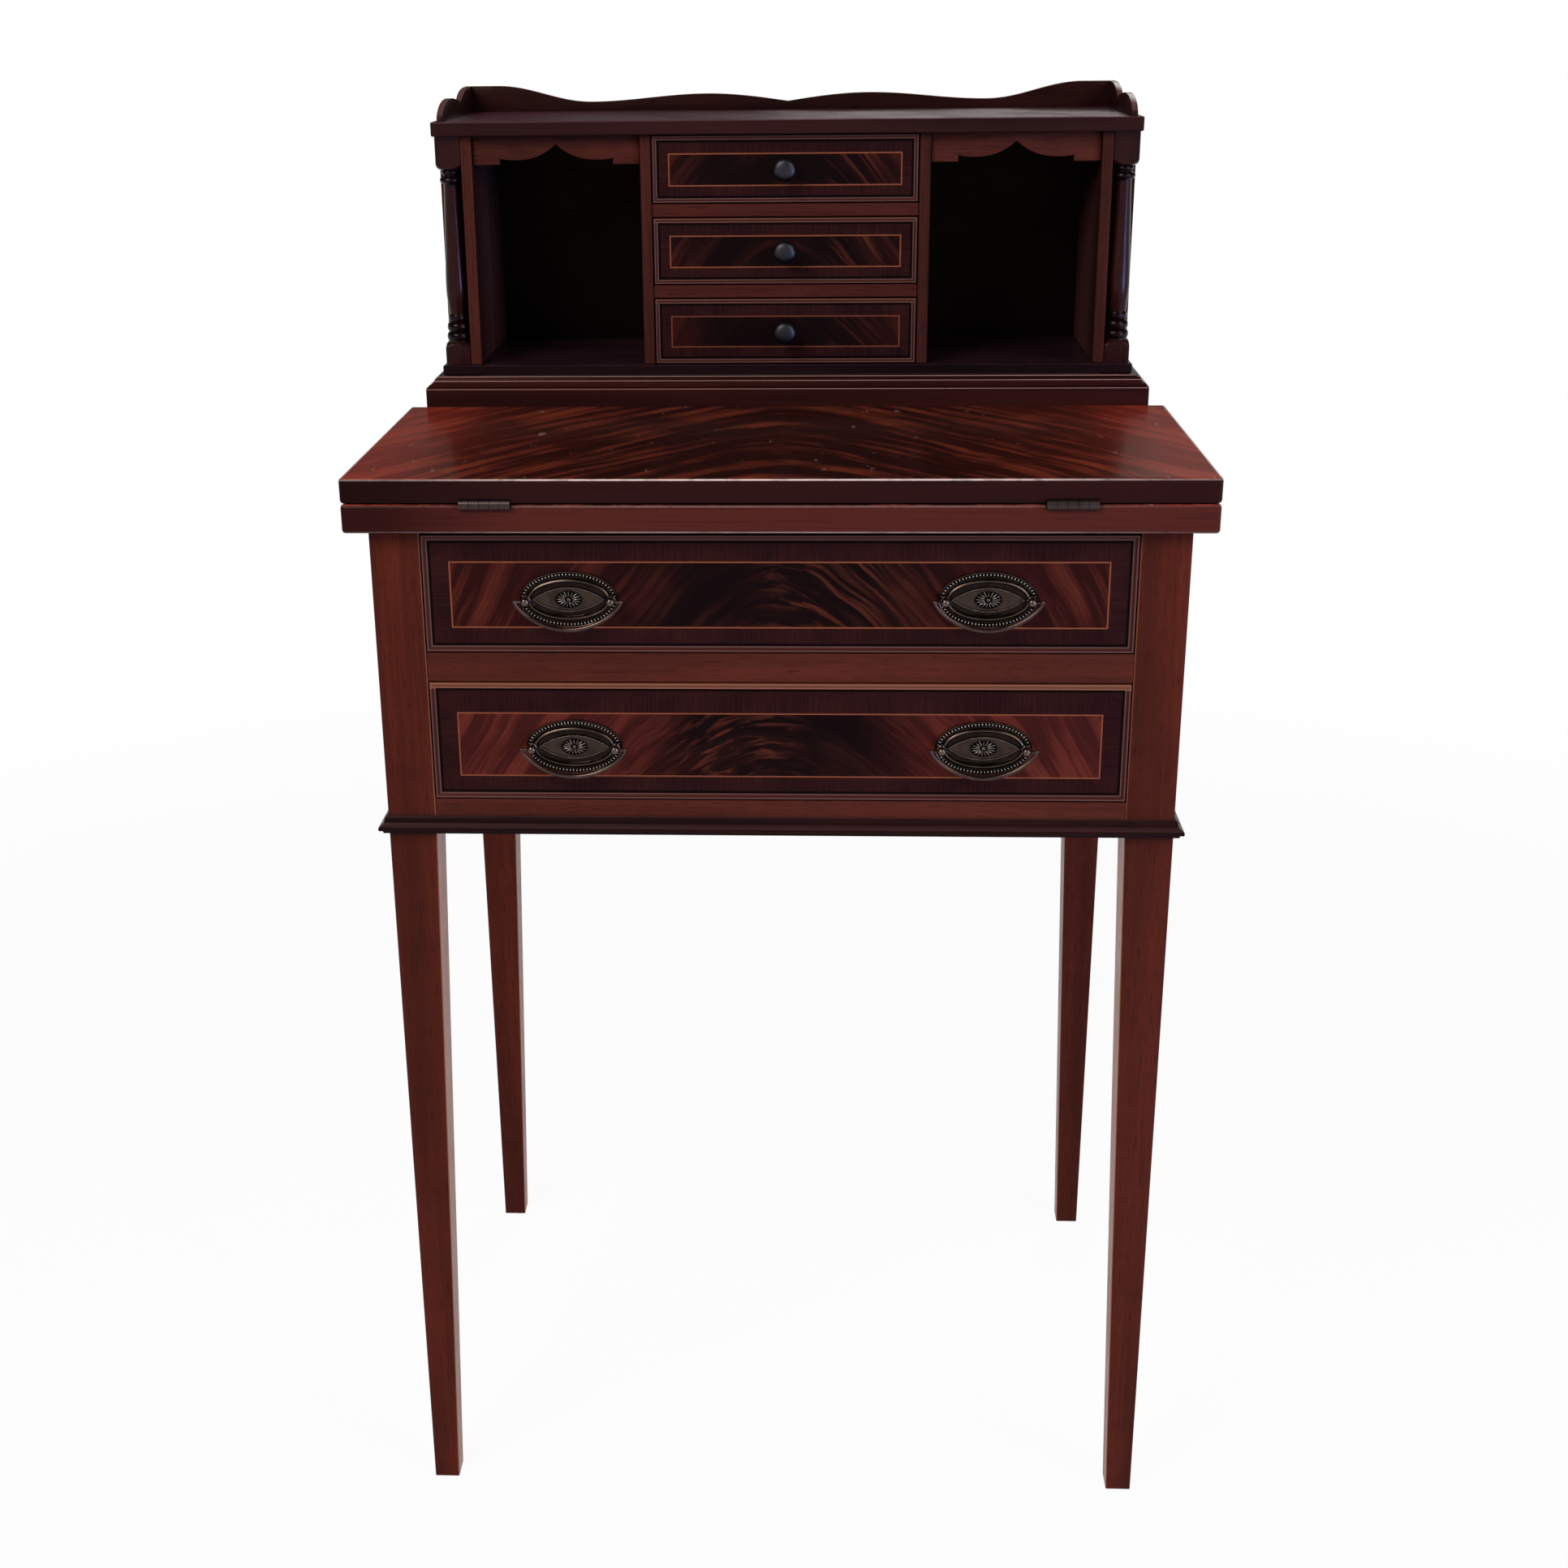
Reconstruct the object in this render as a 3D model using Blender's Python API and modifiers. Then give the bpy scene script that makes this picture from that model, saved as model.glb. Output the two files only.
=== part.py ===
# Bonheur du jour
#
# A small mahogany writing desk. A carcase with two long drawers stands on four legs that
# taper on their inner faces. A writing leaf folds forwards over the upper drawer on two
# butt hinges, and a low cabinet behind it holds two pigeonholes and three small drawers
# between turned columns, under a shelf with a scroll-cut gallery.
#
# Units are metres. X runs to the right, Y from front to back and Z up. The origin is on
# the floor under the middle of the desk.

import math

import bmesh
import bpy
from mathutils import Matrix, Vector

# Driving sizes

# Fits between pieces
seat_gap = 0.0003
running_gap = 0.0010
cut_overrun = 0.0040
board_arris = 0.0006

# The folding leaf and the fixed top under it
top_width = 0.5750
desk_height = 0.8000
leaf_thickness = 0.0170
leaf_depth = 0.2588
lower_top_thickness = 0.0194
leaf_joint_gap = 0.0006
top_arris = 0.0022
leather_thickness = 0.0009
leather_border = 0.0280

# The butt hinges of the leaf
hinge_length = 0.0340
hinge_barrel_diameter = 0.0070
hinge_pin_diameter = 0.0028
hinge_plate_thickness = 0.0012
hinge_plate_depth = 0.0150
hinge_axis_forward = 0.0006
hinge_end_distance = 0.0960
hinge_knuckle_count = 5

# The carcase and its legs
side_overhang = 0.0153
front_overhang = 0.0113
back_overhang = 0.0050
leg_post_size = 0.0335
leg_foot_size = 0.0188
side_panel_thickness = 0.0160
side_panel_recess = 0.0010
back_panel_thickness = 0.0080
back_panel_recess = 0.0020
dust_board_thickness = 0.0080
guide_height = 0.0180
middle_rail_height = 0.0204
bottom_rail_face_height = 0.0120
base_moulding_height = 0.0125
base_moulding_projection = 0.0063

# The two long drawers
upper_drawer_height = 0.0806
lower_drawer_height = 0.0836
drawer_top_clearance = 0.0034
long_drawer_back_space = 0.0187
long_front_thickness = 0.0160
long_side_thickness = 0.0090
long_bottom_thickness = 0.0050
long_bead_width = 0.0042
long_bead_projection = 0.0024
long_side_drop = 0.0060
long_front_lap = 0.0050

# The oval drawer handles
handle_end_distance = 0.0978
handle_centre_drop = 0.0036
handle_plate_length = 0.0660
handle_plate_height = 0.0385
handle_plate_relief = 0.0042
handle_post_spacing = 0.0572
handle_post_reach = 0.0082
handle_ball_diameter = 0.0062
handle_neck_diameter = 0.0036
bail_width = 0.0737
bail_drop = 0.0212
bail_wire_diameter = 0.0034

# The cabinet
cabinet_depth = 0.1552
plinth_side_inset = 0.0125
plinth_leaf_clearance = 0.0010
plinth_face_height = 0.0302
plinth_cap_height = 0.0089
plinth_cap_width = 0.0120
plinth_wall_thickness = 0.0180
cabinet_floor_thickness = 0.0075
cabinet_floor_reveal = 0.0025
cabinet_opening_height = 0.1688
cabinet_side_thickness = 0.0083
cabinet_back_thickness = 0.0065
cabinet_back_rebate = 0.0030
divider_thickness = 0.0083
small_drawer_opening = 0.1990
small_rail_height = 0.0094
shelf_thickness = 0.0104
shelf_front_overhang = 0.0065
shelf_side_overhang = 0.0013
column_block_size = 0.0190
column_base_height = 0.0172
column_base_rings_height = 0.0208
column_cap_rings_height = 0.0115
column_cap_height = 0.0245
apron_height = 0.0210
apron_thickness = 0.0060
apron_setback = 0.0040

# The gallery round the shelf
gallery_height = 0.0195
gallery_housing_depth = 0.0016
gallery_thickness = 0.0046
gallery_end_inset = 0.0046

# The three small drawers
small_drawer_back_space = 0.0165
small_front_thickness = 0.0110
small_side_thickness = 0.0060
small_bottom_thickness = 0.0035
small_bead_width = 0.0034
small_bead_projection = 0.0018
small_side_drop = 0.0040
small_front_lap = 0.0040
knob_diameter = 0.0172
knob_reach = 0.0165

# Facets of the round pieces
turned_steps = 18
oval_sides = 26
hinge_sides = 16
post_sides = 10
ball_steps = 6
bead_segments = 3
top_edge_segments = 2
apron_steps = 8
gallery_steps = 7

# Shares that set the outlines

# Base moulding, as shares of its projection and of its height, from the top down
base_moulding_shares = [
    (0.06, 1.00), (0.20, 0.97), (0.30, 0.88), (0.34, 0.76), (0.45, 0.62),
    (0.62, 0.52), (0.78, 0.48), (0.94, 0.42), (1.00, 0.31), (0.94, 0.20),
    (0.70, 0.17), (0.58, 0.12), (0.50, 0.00),
]

# Cap of the plinth, as shares of the cap's width and height, from the top down
plinth_cap_shares = [
    (0.30, 1.00), (0.34, 0.86), (0.46, 0.84), (0.50, 0.74), (0.56, 0.56),
    (0.68, 0.40), (0.84, 0.31), (0.86, 0.18), (0.97, 0.14), (1.00, 0.00),
]

# Scroll of the back gallery, as shares of its half width and of its height
back_gallery_low_share = 0.36
back_gallery_hump_share = 0.64
back_gallery_notch_share = 0.33
back_gallery_stop_shares = (0.00, 0.25, 0.61, 0.90, 1.00)

# Scroll of the side galleries, as shares of their length and of the gallery's height
side_gallery_lobe_share = 0.75
side_gallery_dip_share = 0.45
side_gallery_stop_shares = (0.30, 0.64, 0.94)

# Apron over a pigeonhole, as shares of its width and of its height
apron_tab_share = 0.16
apron_shoulder_share = 0.82
apron_point_share = 0.33

# Column rings, as shares of the block size and of the height of their group
column_cap_ring_shares = [
    (0.60, 1.00), (0.69, 0.96), (0.725, 0.85), (0.69, 0.74), (0.58, 0.69),
    (0.60, 0.62), (0.78, 0.56), (0.87, 0.44), (0.88, 0.34), (0.80, 0.20),
    (0.62, 0.15), (0.60, 0.04),
]
column_base_ring_shares = [
    (0.70, 0.98), (0.76, 0.94), (0.79, 0.84), (0.76, 0.74), (0.66, 0.69),
    (0.84, 0.64), (0.92, 0.51), (0.84, 0.38), (0.72, 0.34), (0.90, 0.29),
    (0.97, 0.16), (0.90, 0.03),
]
column_shaft_shares = [
    (0.60, 1.00), (0.66, 0.80), (0.76, 0.50), (0.85, 0.28), (0.84, 0.15), (0.72, 0.02),
]

# Drawer knob, as shares of its radius and of its reach, from the tip down
knob_shares = [
    (0.00, 1.00), (0.36, 0.985), (0.66, 0.93), (0.88, 0.83), (0.99, 0.70),
    (1.00, 0.60), (0.92, 0.51), (0.66, 0.46), (0.44, 0.40), (0.37, 0.28),
    (0.40, 0.16), (0.56, 0.11), (0.60, 0.05), (0.58, 0.00), (0.00, 0.00),
]

# Handle plate, as shares of its half length, its half height and its relief
plate_shares = [
    (1.00, 1.00, 0.16), (0.98, 0.96, 0.40), (0.94, 0.90, 0.48), (0.89, 0.82, 0.36),
    (0.85, 0.72, 0.34), (0.82, 0.64, 0.62), (0.79, 0.57, 0.44), (0.77, 0.46, 0.42),
    (0.74, 0.38, 0.72), (0.70, 0.33, 0.56), (0.27, 0.31, 0.56), (0.25, 0.28, 0.78),
    (0.08, 0.11, 1.00),
]
bail_curve_power = 1.30
bail_end_share = 0.64
bail_points = 15

# Rounding of a cock bead, as a share of its width
bead_round_share = 0.44

# Dovetails of the drawers: height at the root and at the end, as shares of their pitch
tail_root_share = 0.50
tail_end_share = 0.74
long_tail_count = 4
small_tail_count = 3

# Places worked out from the sizes

hinge_barrel_radius = hinge_barrel_diameter / 2
hinge_projection = hinge_barrel_radius + hinge_axis_forward
top_depth = leaf_depth + plinth_leaf_clearance + cabinet_depth + back_overhang
top_front_y = hinge_projection - (top_depth + hinge_projection) / 2
top_back_y = top_front_y + top_depth
top_half = top_width / 2

leaf_bottom_z = desk_height - leaf_thickness
leaf_joint_z = leaf_bottom_z - leaf_joint_gap / 2
lower_top_z = leaf_bottom_z - leaf_joint_gap
carcase_top_z = lower_top_z - lower_top_thickness
leaf_back_y = top_front_y + leaf_depth
hinge_axis_y = top_front_y - hinge_axis_forward

carcase_half = top_half - side_overhang
carcase_front_y = top_front_y + front_overhang
carcase_back_y = top_back_y - back_overhang
post_inner_x = carcase_half - leg_post_size
post_back_y = carcase_front_y + leg_post_size
rear_post_front_y = carcase_back_y - leg_post_size
panel_outer_x = carcase_half - side_panel_recess
panel_inner_x = panel_outer_x - side_panel_thickness
back_panel_y = carcase_back_y - back_panel_recess
long_drawer_half = post_inner_x - running_gap
long_drawer_back_y = back_panel_y - back_panel_thickness - long_drawer_back_space
handle_x = long_drawer_half - handle_end_distance

upper_drawer_top_z = carcase_top_z - drawer_top_clearance
upper_drawer_z = upper_drawer_top_z - upper_drawer_height
middle_rail_top_z = upper_drawer_z - running_gap
middle_rail_z = middle_rail_top_z - middle_rail_height
lower_drawer_top_z = middle_rail_z - running_gap
lower_drawer_z = lower_drawer_top_z - lower_drawer_height
bottom_rail_top_z = lower_drawer_z - running_gap
base_moulding_top_z = bottom_rail_top_z - bottom_rail_face_height
base_moulding_z = base_moulding_top_z - base_moulding_height

plinth_half = top_half - plinth_side_inset
plinth_front_y = leaf_back_y + plinth_leaf_clearance
plinth_face_top_z = lower_top_z + plinth_face_height
plinth_top_z = plinth_face_top_z + plinth_cap_height
floor_half = plinth_half - plinth_cap_width
floor_front_y = plinth_front_y + plinth_cap_width
floor_top_z = plinth_top_z + cabinet_floor_thickness
cabinet_half = floor_half - cabinet_floor_reveal
cabinet_front_y = floor_front_y + cabinet_floor_reveal
cabinet_back_y = carcase_back_y
cabinet_panel_y = cabinet_back_y - cabinet_back_thickness
shelf_z = floor_top_z + cabinet_opening_height
shelf_top_z = shelf_z + shelf_thickness
shelf_half = cabinet_half + shelf_side_overhang
shelf_front_y = cabinet_front_y - shelf_front_overhang
column_inner_x = cabinet_half - column_block_size
side_inner_x = column_inner_x - cabinet_side_thickness
divider_inner_x = small_drawer_opening / 2
divider_outer_x = divider_inner_x + divider_thickness
gallery_outer_x = shelf_half - gallery_end_inset
gallery_back_front_y = cabinet_back_y - gallery_thickness
gallery_front_y = shelf_front_y + top_arris
gallery_tongue = gallery_housing_depth - seat_gap
small_drawer_pitch = (cabinet_opening_height + small_rail_height) / 3
small_drawer_height = small_drawer_pitch - small_rail_height - 2 * running_gap
small_drawer_back_y = cabinet_panel_y - small_drawer_back_space

# Colour, roughness and metallic value of each finish
finishes = {
    "mahogany": ((0.115, 0.028, 0.016), 0.32, 0.0),
    "flame_veneer": ((0.085, 0.020, 0.015), 0.25, 0.0),
    "dark_mahogany": ((0.035, 0.010, 0.009), 0.28, 0.0),
    "drawer_lining": ((0.320, 0.190, 0.095), 0.60, 0.0),
    "leather": ((0.030, 0.070, 0.040), 0.50, 0.0),
    "antique_brass": ((0.180, 0.130, 0.070), 0.38, 1.0),
    "hinge_metal": ((0.150, 0.130, 0.110), 0.50, 1.0),
    "knob_bronze": ((0.090, 0.085, 0.085), 0.40, 1.0),
}

desk_collection = bpy.data.collections.new("bonheur_du_jour")
cutter_collection = bpy.data.collections.new("cutters")


# Shared modelling steps

def clear_scene():
    for old in list(bpy.data.objects):
        bpy.data.objects.remove(old, do_unlink=True)
    bpy.context.scene.collection.children.link(desk_collection)
    bpy.context.scene.collection.children.link(cutter_collection)


def finish_material(name, finish):
    """Gives a piece its own material in one of the desk's finishes."""
    colour, roughness, metallic = finishes[finish]
    material = bpy.data.materials.new(name + "_finish")
    material.use_nodes = True
    shader = material.node_tree.nodes["Principled BSDF"]
    shader.inputs["Base Color"].default_value = (*colour, 1.0)
    shader.inputs["Roughness"].default_value = roughness
    shader.inputs["Metallic"].default_value = metallic
    material.diffuse_color = (*colour, 1.0)
    return material


def add_piece(name, data, finish, place, parent=None):
    """Puts a mesh or curve into the scene at a place given in the desk's own frame."""
    piece = bpy.data.objects.new(name, data)
    desk_collection.objects.link(piece)
    data.materials.append(finish_material(name, finish))
    offset = parent.location if parent else Vector()
    piece.location = Vector(place) - offset
    piece.parent = parent
    return piece


def add_cutter(name, data, place):
    """Puts in a shape that only cuts or joins another piece."""
    cutter = bpy.data.objects.new(name, data)
    cutter_collection.objects.link(cutter)
    cutter.location = place
    cutter.hide_render = True
    cutter.display_type = "WIRE"
    return cutter


def add_axis(name, place):
    """An empty that carries the pieces of one moving part, on its joint's axis."""
    axis = bpy.data.objects.new(name, None)
    desk_collection.objects.link(axis)
    axis.location = place
    return axis


def mesh_from(bm, name):
    mesh = bpy.data.meshes.new(name)
    bm.to_mesh(mesh)
    bm.free()
    return mesh


def box_bmesh(size):
    bm = bmesh.new()
    made = bmesh.ops.create_cube(bm, size=1.0)
    bmesh.ops.scale(bm, vec=size, verts=made["verts"])
    return bm


def middle_and_size(low, high):
    return (Vector(low) + Vector(high)) / 2, Vector(high) - Vector(low)


def round_edges(bm, edges, width, segments=1):
    bmesh.ops.bevel(
        bm, geom=edges, offset=width, offset_type="OFFSET", segments=segments,
        profile=0.5, affect="EDGES", material=-1, clamp_overlap=True,
    )


def board(name, low, high, finish, parent=None, arris=board_arris, segments=1):
    """A plain board with its arrises taken off."""
    middle, size = middle_and_size(low, high)
    bm = box_bmesh(size)
    round_edges(bm, list(bm.edges), arris, segments)
    return add_piece(name, mesh_from(bm, name), finish, middle, parent)


def box_cutter(name, low, high):
    middle, size = middle_and_size(low, high)
    return add_cutter(name, mesh_from(box_bmesh(size), name), middle)


def cut(piece, cutter):
    step = piece.modifiers.new("cut " + cutter.name, "BOOLEAN")
    step.operation = "DIFFERENCE"
    step.solver = "EXACT"
    step.object = cutter


def join(piece, other):
    step = piece.modifiers.new("join " + other.name, "BOOLEAN")
    step.operation = "UNION"
    step.solver = "EXACT"
    step.object = other


def x_cylinder_bmesh(radius, length, sides):
    """A cylinder along X, centred."""
    bm = bmesh.new()
    made = bmesh.ops.create_cone(
        bm, cap_ends=True, segments=sides, radius1=radius, radius2=radius, depth=length,
    )
    turn = Matrix.Rotation(math.radians(90.0), 4, "Y")
    bmesh.ops.transform(bm, matrix=turn, verts=made["verts"])
    return bm


def turned_mesh(name, profile):
    """The half outline of a turned piece, from its top down, at +X."""
    bm = bmesh.new()
    points = [bm.verts.new((radius, 0.0, height)) for radius, height in profile]
    for first, second in zip(points, points[1:]):
        bm.edges.new((first, second))
    return mesh_from(bm, name)


def add_turning(piece, steps):
    spin = piece.modifiers.new("turning", "SCREW")
    spin.axis = "Z"
    spin.angle = math.radians(360.0)
    spin.screw_offset = 0.0
    spin.steps = steps
    spin.render_steps = steps
    spin.use_merge_vertices = True
    spin.merge_threshold = 0.00001
    spin.use_smooth_shade = True


def outline_curve(name, points, thickness, arris=board_arris):
    """A flat sawn outline, given in its own plane, with its arrises taken off."""
    curve = bpy.data.curves.new(name, "CURVE")
    curve.dimensions = "2D"
    curve.fill_mode = "BOTH"
    curve.extrude = thickness / 2 - arris
    curve.bevel_depth = arris
    curve.bevel_resolution = 0
    curve.offset = -arris
    spline = curve.splines.new("POLY")
    spline.points.add(len(points) - 1)
    for point, (across, up) in zip(spline.points, points):
        point.co = (across, up, 0.0, 1.0)
    spline.use_cyclic_u = True
    return curve


def ease(start, end, share):
    """A value that leaves start and reaches end level, as a scroll does."""
    return start + (end - start) * (1 - math.cos(math.pi * share)) / 2


def mitred_moulding(name, section, half_width, front_y, back_y, finish):
    """A moulding mitred round the front and both sides. The section's points are the
    distance outwards from the face that it is planted on, and the height."""
    bm = bmesh.new()
    ring = [bm.verts.new((-half_width - out, back_y, height)) for out, height in section]
    edges = [bm.edges.new((ring[i - 1], ring[i])) for i in range(len(ring))]

    def to_left_mitre(vert):
        vert.co.y = front_y - (-vert.co.x - half_width)

    def to_right_mitre(vert):
        vert.co.x = -vert.co.x

    def to_right_end(vert):
        vert.co.y = back_y

    for move in (to_left_mitre, to_right_mitre, to_right_end):
        made = bmesh.ops.extrude_edge_only(bm, edges=edges)["geom"]
        new_verts = [part for part in made if isinstance(part, bmesh.types.BMVert)]
        edges = [
            part for part in made
            if isinstance(part, bmesh.types.BMEdge) and all(v in new_verts for v in part.verts)
        ]
        for vert in new_verts:
            move(vert)
    bmesh.ops.holes_fill(bm, edges=list(bm.edges), sides=0)
    bmesh.ops.recalc_face_normals(bm, faces=list(bm.faces))
    return add_piece(name, mesh_from(bm, name), finish, (0.0, 0.0, 0.0))


# Legs

def make_leg(name, side, end):
    """A post with a leg below it that tapers on its two inner faces. side is -1 for the
    left and 1 for the right, end is -1 for the front and 1 for the back."""
    outer_x = side * carcase_half
    outer_y = carcase_front_y if end < 0 else carcase_back_y
    height = carcase_top_z - seat_gap
    bm = box_bmesh((leg_post_size, leg_post_size, height))
    corner = Vector((side * leg_post_size / 2, end * leg_post_size / 2, -height / 2))
    everything = list(bm.verts) + list(bm.edges) + list(bm.faces)
    taper_start = Vector((0.0, 0.0, base_moulding_z - height / 2))
    bmesh.ops.bisect_plane(bm, geom=everything, plane_co=taper_start, plane_no=(0.0, 0.0, 1.0))
    foot = [vert for vert in bm.verts if vert.co.z < taper_start.z - board_arris]
    share = leg_foot_size / leg_post_size
    bmesh.ops.scale(bm, vec=(share, share, 1.0), verts=foot, space=Matrix.Translation(-corner))
    upright = [edge for edge in bm.edges if edge.verts[0].co.z != edge.verts[1].co.z]
    round_edges(bm, upright, board_arris)
    middle = Vector((outer_x, outer_y, 0.0)) - corner
    add_piece(name, mesh_from(bm, name), "mahogany", middle)


def make_legs():
    for end_name, end in (("front", -1), ("back", 1)):
        for side_name, side in (("left", -1), ("right", 1)):
            make_leg("leg_" + end_name + "_" + side_name, side, end)


# Carcase

def make_carcase_side(name, side):
    """A side panel between the legs, with the two guide battens glued inside it that keep
    the drawers running straight."""
    low_y = post_back_y + seat_gap
    high_y = rear_post_front_y - seat_gap
    low = (min(side * panel_inner_x, side * panel_outer_x), low_y, base_moulding_z)
    high = (max(side * panel_inner_x, side * panel_outer_x), high_y, carcase_top_z - seat_gap)
    panel = board(name, low, high, "mahogany")
    glued_x = panel_inner_x + side_panel_thickness / 2
    for level_name, level in (("upper", middle_rail_top_z), ("lower", bottom_rail_top_z)):
        guide_low_z = level + seat_gap
        xs = sorted((side * post_inner_x, side * glued_x))
        batten = box_cutter(
            name + "_" + level_name + "_guide",
            (xs[0], low_y + board_arris, guide_low_z),
            (xs[1], high_y - board_arris, guide_low_z + guide_height),
        )
        join(panel, batten)


def make_rail(name, low_z, high_z):
    """A front rail between the two front posts, flush with them."""
    half = post_inner_x - seat_gap
    board(name, (-half, carcase_front_y, low_z), (half, post_back_y, high_z), "mahogany")


def make_dust_board(name, top_z):
    """A board behind a rail, flush with its upper edge, that carries a drawer."""
    half = panel_inner_x - seat_gap
    board(
        name,
        (-half, post_back_y + seat_gap, top_z - dust_board_thickness),
        (half, rear_post_front_y - seat_gap, top_z),
        "drawer_lining",
    )


def make_carcase_back():
    half = post_inner_x - seat_gap
    board(
        "carcase_back",
        (-half, back_panel_y - back_panel_thickness, base_moulding_z),
        (half, back_panel_y, carcase_top_z - seat_gap),
        "drawer_lining",
    )


def make_base_moulding():
    section = [
        (projection * base_moulding_projection + seat_gap, base_moulding_z + height * base_moulding_height)
        for projection, height in base_moulding_shares
    ]
    section.append((seat_gap, base_moulding_z))
    section.append((seat_gap, base_moulding_top_z))
    mitred_moulding(
        "base_moulding", section, carcase_half, carcase_front_y, carcase_back_y, "dark_mahogany",
    )


def make_carcase():
    make_carcase_side("carcase_side_left", -1)
    make_carcase_side("carcase_side_right", 1)
    make_rail("rail_middle", middle_rail_z, middle_rail_top_z)
    make_rail("rail_bottom", base_moulding_z, bottom_rail_top_z)
    make_dust_board("dust_board_middle", middle_rail_top_z)
    make_dust_board("dust_board_bottom", bottom_rail_top_z)
    make_carcase_back()
    make_base_moulding()


# Tops, leather and hinges

def leather_box(low_z, high_z, clearance):
    """The corners of a leather skiver or of the recess that it lies in."""
    half = top_half - leather_border + clearance
    low = (-half, top_front_y + leather_border - clearance, low_z)
    high = (half, leaf_back_y - leather_border + clearance, high_z)
    return low, high


def cut_hinge_seats(top, face_z, into):
    """Lets the hinges into one meeting face. into is -1 down into the lower top and 1 up
    into the leaf."""
    recess = hinge_plate_thickness + seat_gap
    for side_name, side in (("left", -1), ("right", 1)):
        centre_x = side * (top_half - hinge_end_distance)
        half = hinge_length / 2 + seat_gap
        zs = sorted((face_z - into * cut_overrun, face_z + into * recess))
        plate_seat = box_cutter(
            top.name + "_plate_seat_" + side_name,
            (centre_x - half, hinge_axis_y, zs[0]),
            (centre_x + half, hinge_axis_y + hinge_plate_depth + seat_gap, zs[1]),
        )
        cut(top, plate_seat)
        bm = x_cylinder_bmesh(hinge_barrel_radius + seat_gap, hinge_length + 2 * seat_gap, hinge_sides)
        name = top.name + "_barrel_seat_" + side_name
        barrel_seat = add_cutter(name, mesh_from(bm, name), (centre_x, hinge_axis_y, leaf_joint_z))
        cut(top, barrel_seat)


def make_lower_top():
    top = board(
        "lower_top",
        (-top_half, top_front_y, carcase_top_z),
        (top_half, top_back_y, lower_top_z),
        "mahogany", arris=top_arris, segments=top_edge_segments,
    )
    recess_z = lower_top_z - leather_thickness - seat_gap
    low, high = leather_box(recess_z, lower_top_z + cut_overrun, seat_gap)
    cut(top, box_cutter("lower_leather_recess", low, high))
    cut_hinge_seats(top, lower_top_z, -1)
    low, high = leather_box(recess_z + seat_gap, lower_top_z, 0.0)
    board("lower_leather", low, high, "leather", arris=leather_thickness / 4)


def make_leaf(axis):
    leaf = board(
        "writing_leaf",
        (-top_half, top_front_y, leaf_bottom_z),
        (top_half, leaf_back_y, desk_height),
        "flame_veneer", parent=axis, arris=top_arris, segments=top_edge_segments,
    )
    recess_z = leaf_bottom_z + leather_thickness + seat_gap
    low, high = leather_box(leaf_bottom_z - cut_overrun, recess_z, seat_gap)
    cut(leaf, box_cutter("leaf_leather_recess", low, high))
    cut_hinge_seats(leaf, leaf_bottom_z, 1)
    low, high = leather_box(leaf_bottom_z, recess_z - seat_gap, 0.0)
    board("leaf_leather", low, high, "leather", parent=axis, arris=leather_thickness / 4)


def hinge_knuckles(centre_x):
    """Middle and length of each knuckle of one hinge, from left to right."""
    pitch = hinge_length / hinge_knuckle_count
    length = pitch - seat_gap
    first = centre_x - hinge_length / 2 + pitch / 2
    return [(first + i * pitch, length) for i in range(hinge_knuckle_count)]


def make_hinge_half(name, centre_x, face_z, into, own_first, pin, parent=None):
    """One leaf of a butt hinge with its knuckles. own_first is 0 for the half with the
    outer knuckles, which also holds the pin, and 1 for the other half."""
    zs = sorted((face_z, face_z + into * hinge_plate_thickness))
    half = hinge_length / 2
    plate_low = (centre_x - half, hinge_axis_y + hinge_barrel_radius / 2, zs[0])
    plate_high = (centre_x + half, hinge_axis_y + hinge_plate_depth, zs[1])
    middle, size = middle_and_size(plate_low, plate_high)
    bm = box_bmesh(size)
    plate = add_piece(name, mesh_from(bm, name), "hinge_metal", middle, parent)
    knuckles = hinge_knuckles(centre_x)
    place_yz = (hinge_axis_y, leaf_joint_z)
    for index, (knuckle_x, length) in enumerate(knuckles):
        if index % 2 == own_first:
            continue
        radius = hinge_barrel_radius + seat_gap
        bm = x_cylinder_bmesh(radius, length + 2 * seat_gap, hinge_sides)
        clear_name = name + "_clearance_" + str(index)
        cut(plate, add_cutter(clear_name, mesh_from(bm, clear_name), (knuckle_x, *place_yz)))
    for index, (knuckle_x, length) in enumerate(knuckles):
        if index % 2 != own_first:
            continue
        bm = x_cylinder_bmesh(hinge_barrel_radius, length, hinge_sides)
        knuckle_name = name + "_knuckle_" + str(index)
        join(plate, add_cutter(knuckle_name, mesh_from(bm, knuckle_name), (knuckle_x, *place_yz)))
    pin_radius = hinge_pin_diameter / 2
    pin_name = name + "_pin" if pin else name + "_pin_hole"
    if pin:
        bm = x_cylinder_bmesh(pin_radius, hinge_length - hinge_barrel_radius, hinge_sides)
        join(plate, add_cutter(pin_name, mesh_from(bm, pin_name), (centre_x, *place_yz)))
    else:
        bm = x_cylinder_bmesh(pin_radius + seat_gap, hinge_length, hinge_sides)
        cut(plate, add_cutter(pin_name, mesh_from(bm, pin_name), (centre_x, *place_yz)))
    plate.data.shade_smooth()
    plate.data.set_sharp_from_angle(angle=math.radians(40.0))


def make_tops():
    axis = add_axis("leaf_axis", (0.0, hinge_axis_y, leaf_joint_z))
    make_lower_top()
    make_leaf(axis)
    for side_name, side in (("left", -1), ("right", 1)):
        centre_x = side * (top_half - hinge_end_distance)
        make_hinge_half("hinge_fixed_" + side_name, centre_x, lower_top_z, -1, 0, True)
        make_hinge_half("hinge_moving_" + side_name, centre_x, leaf_bottom_z, 1, 1, False, axis)


# Cabinet

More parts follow.
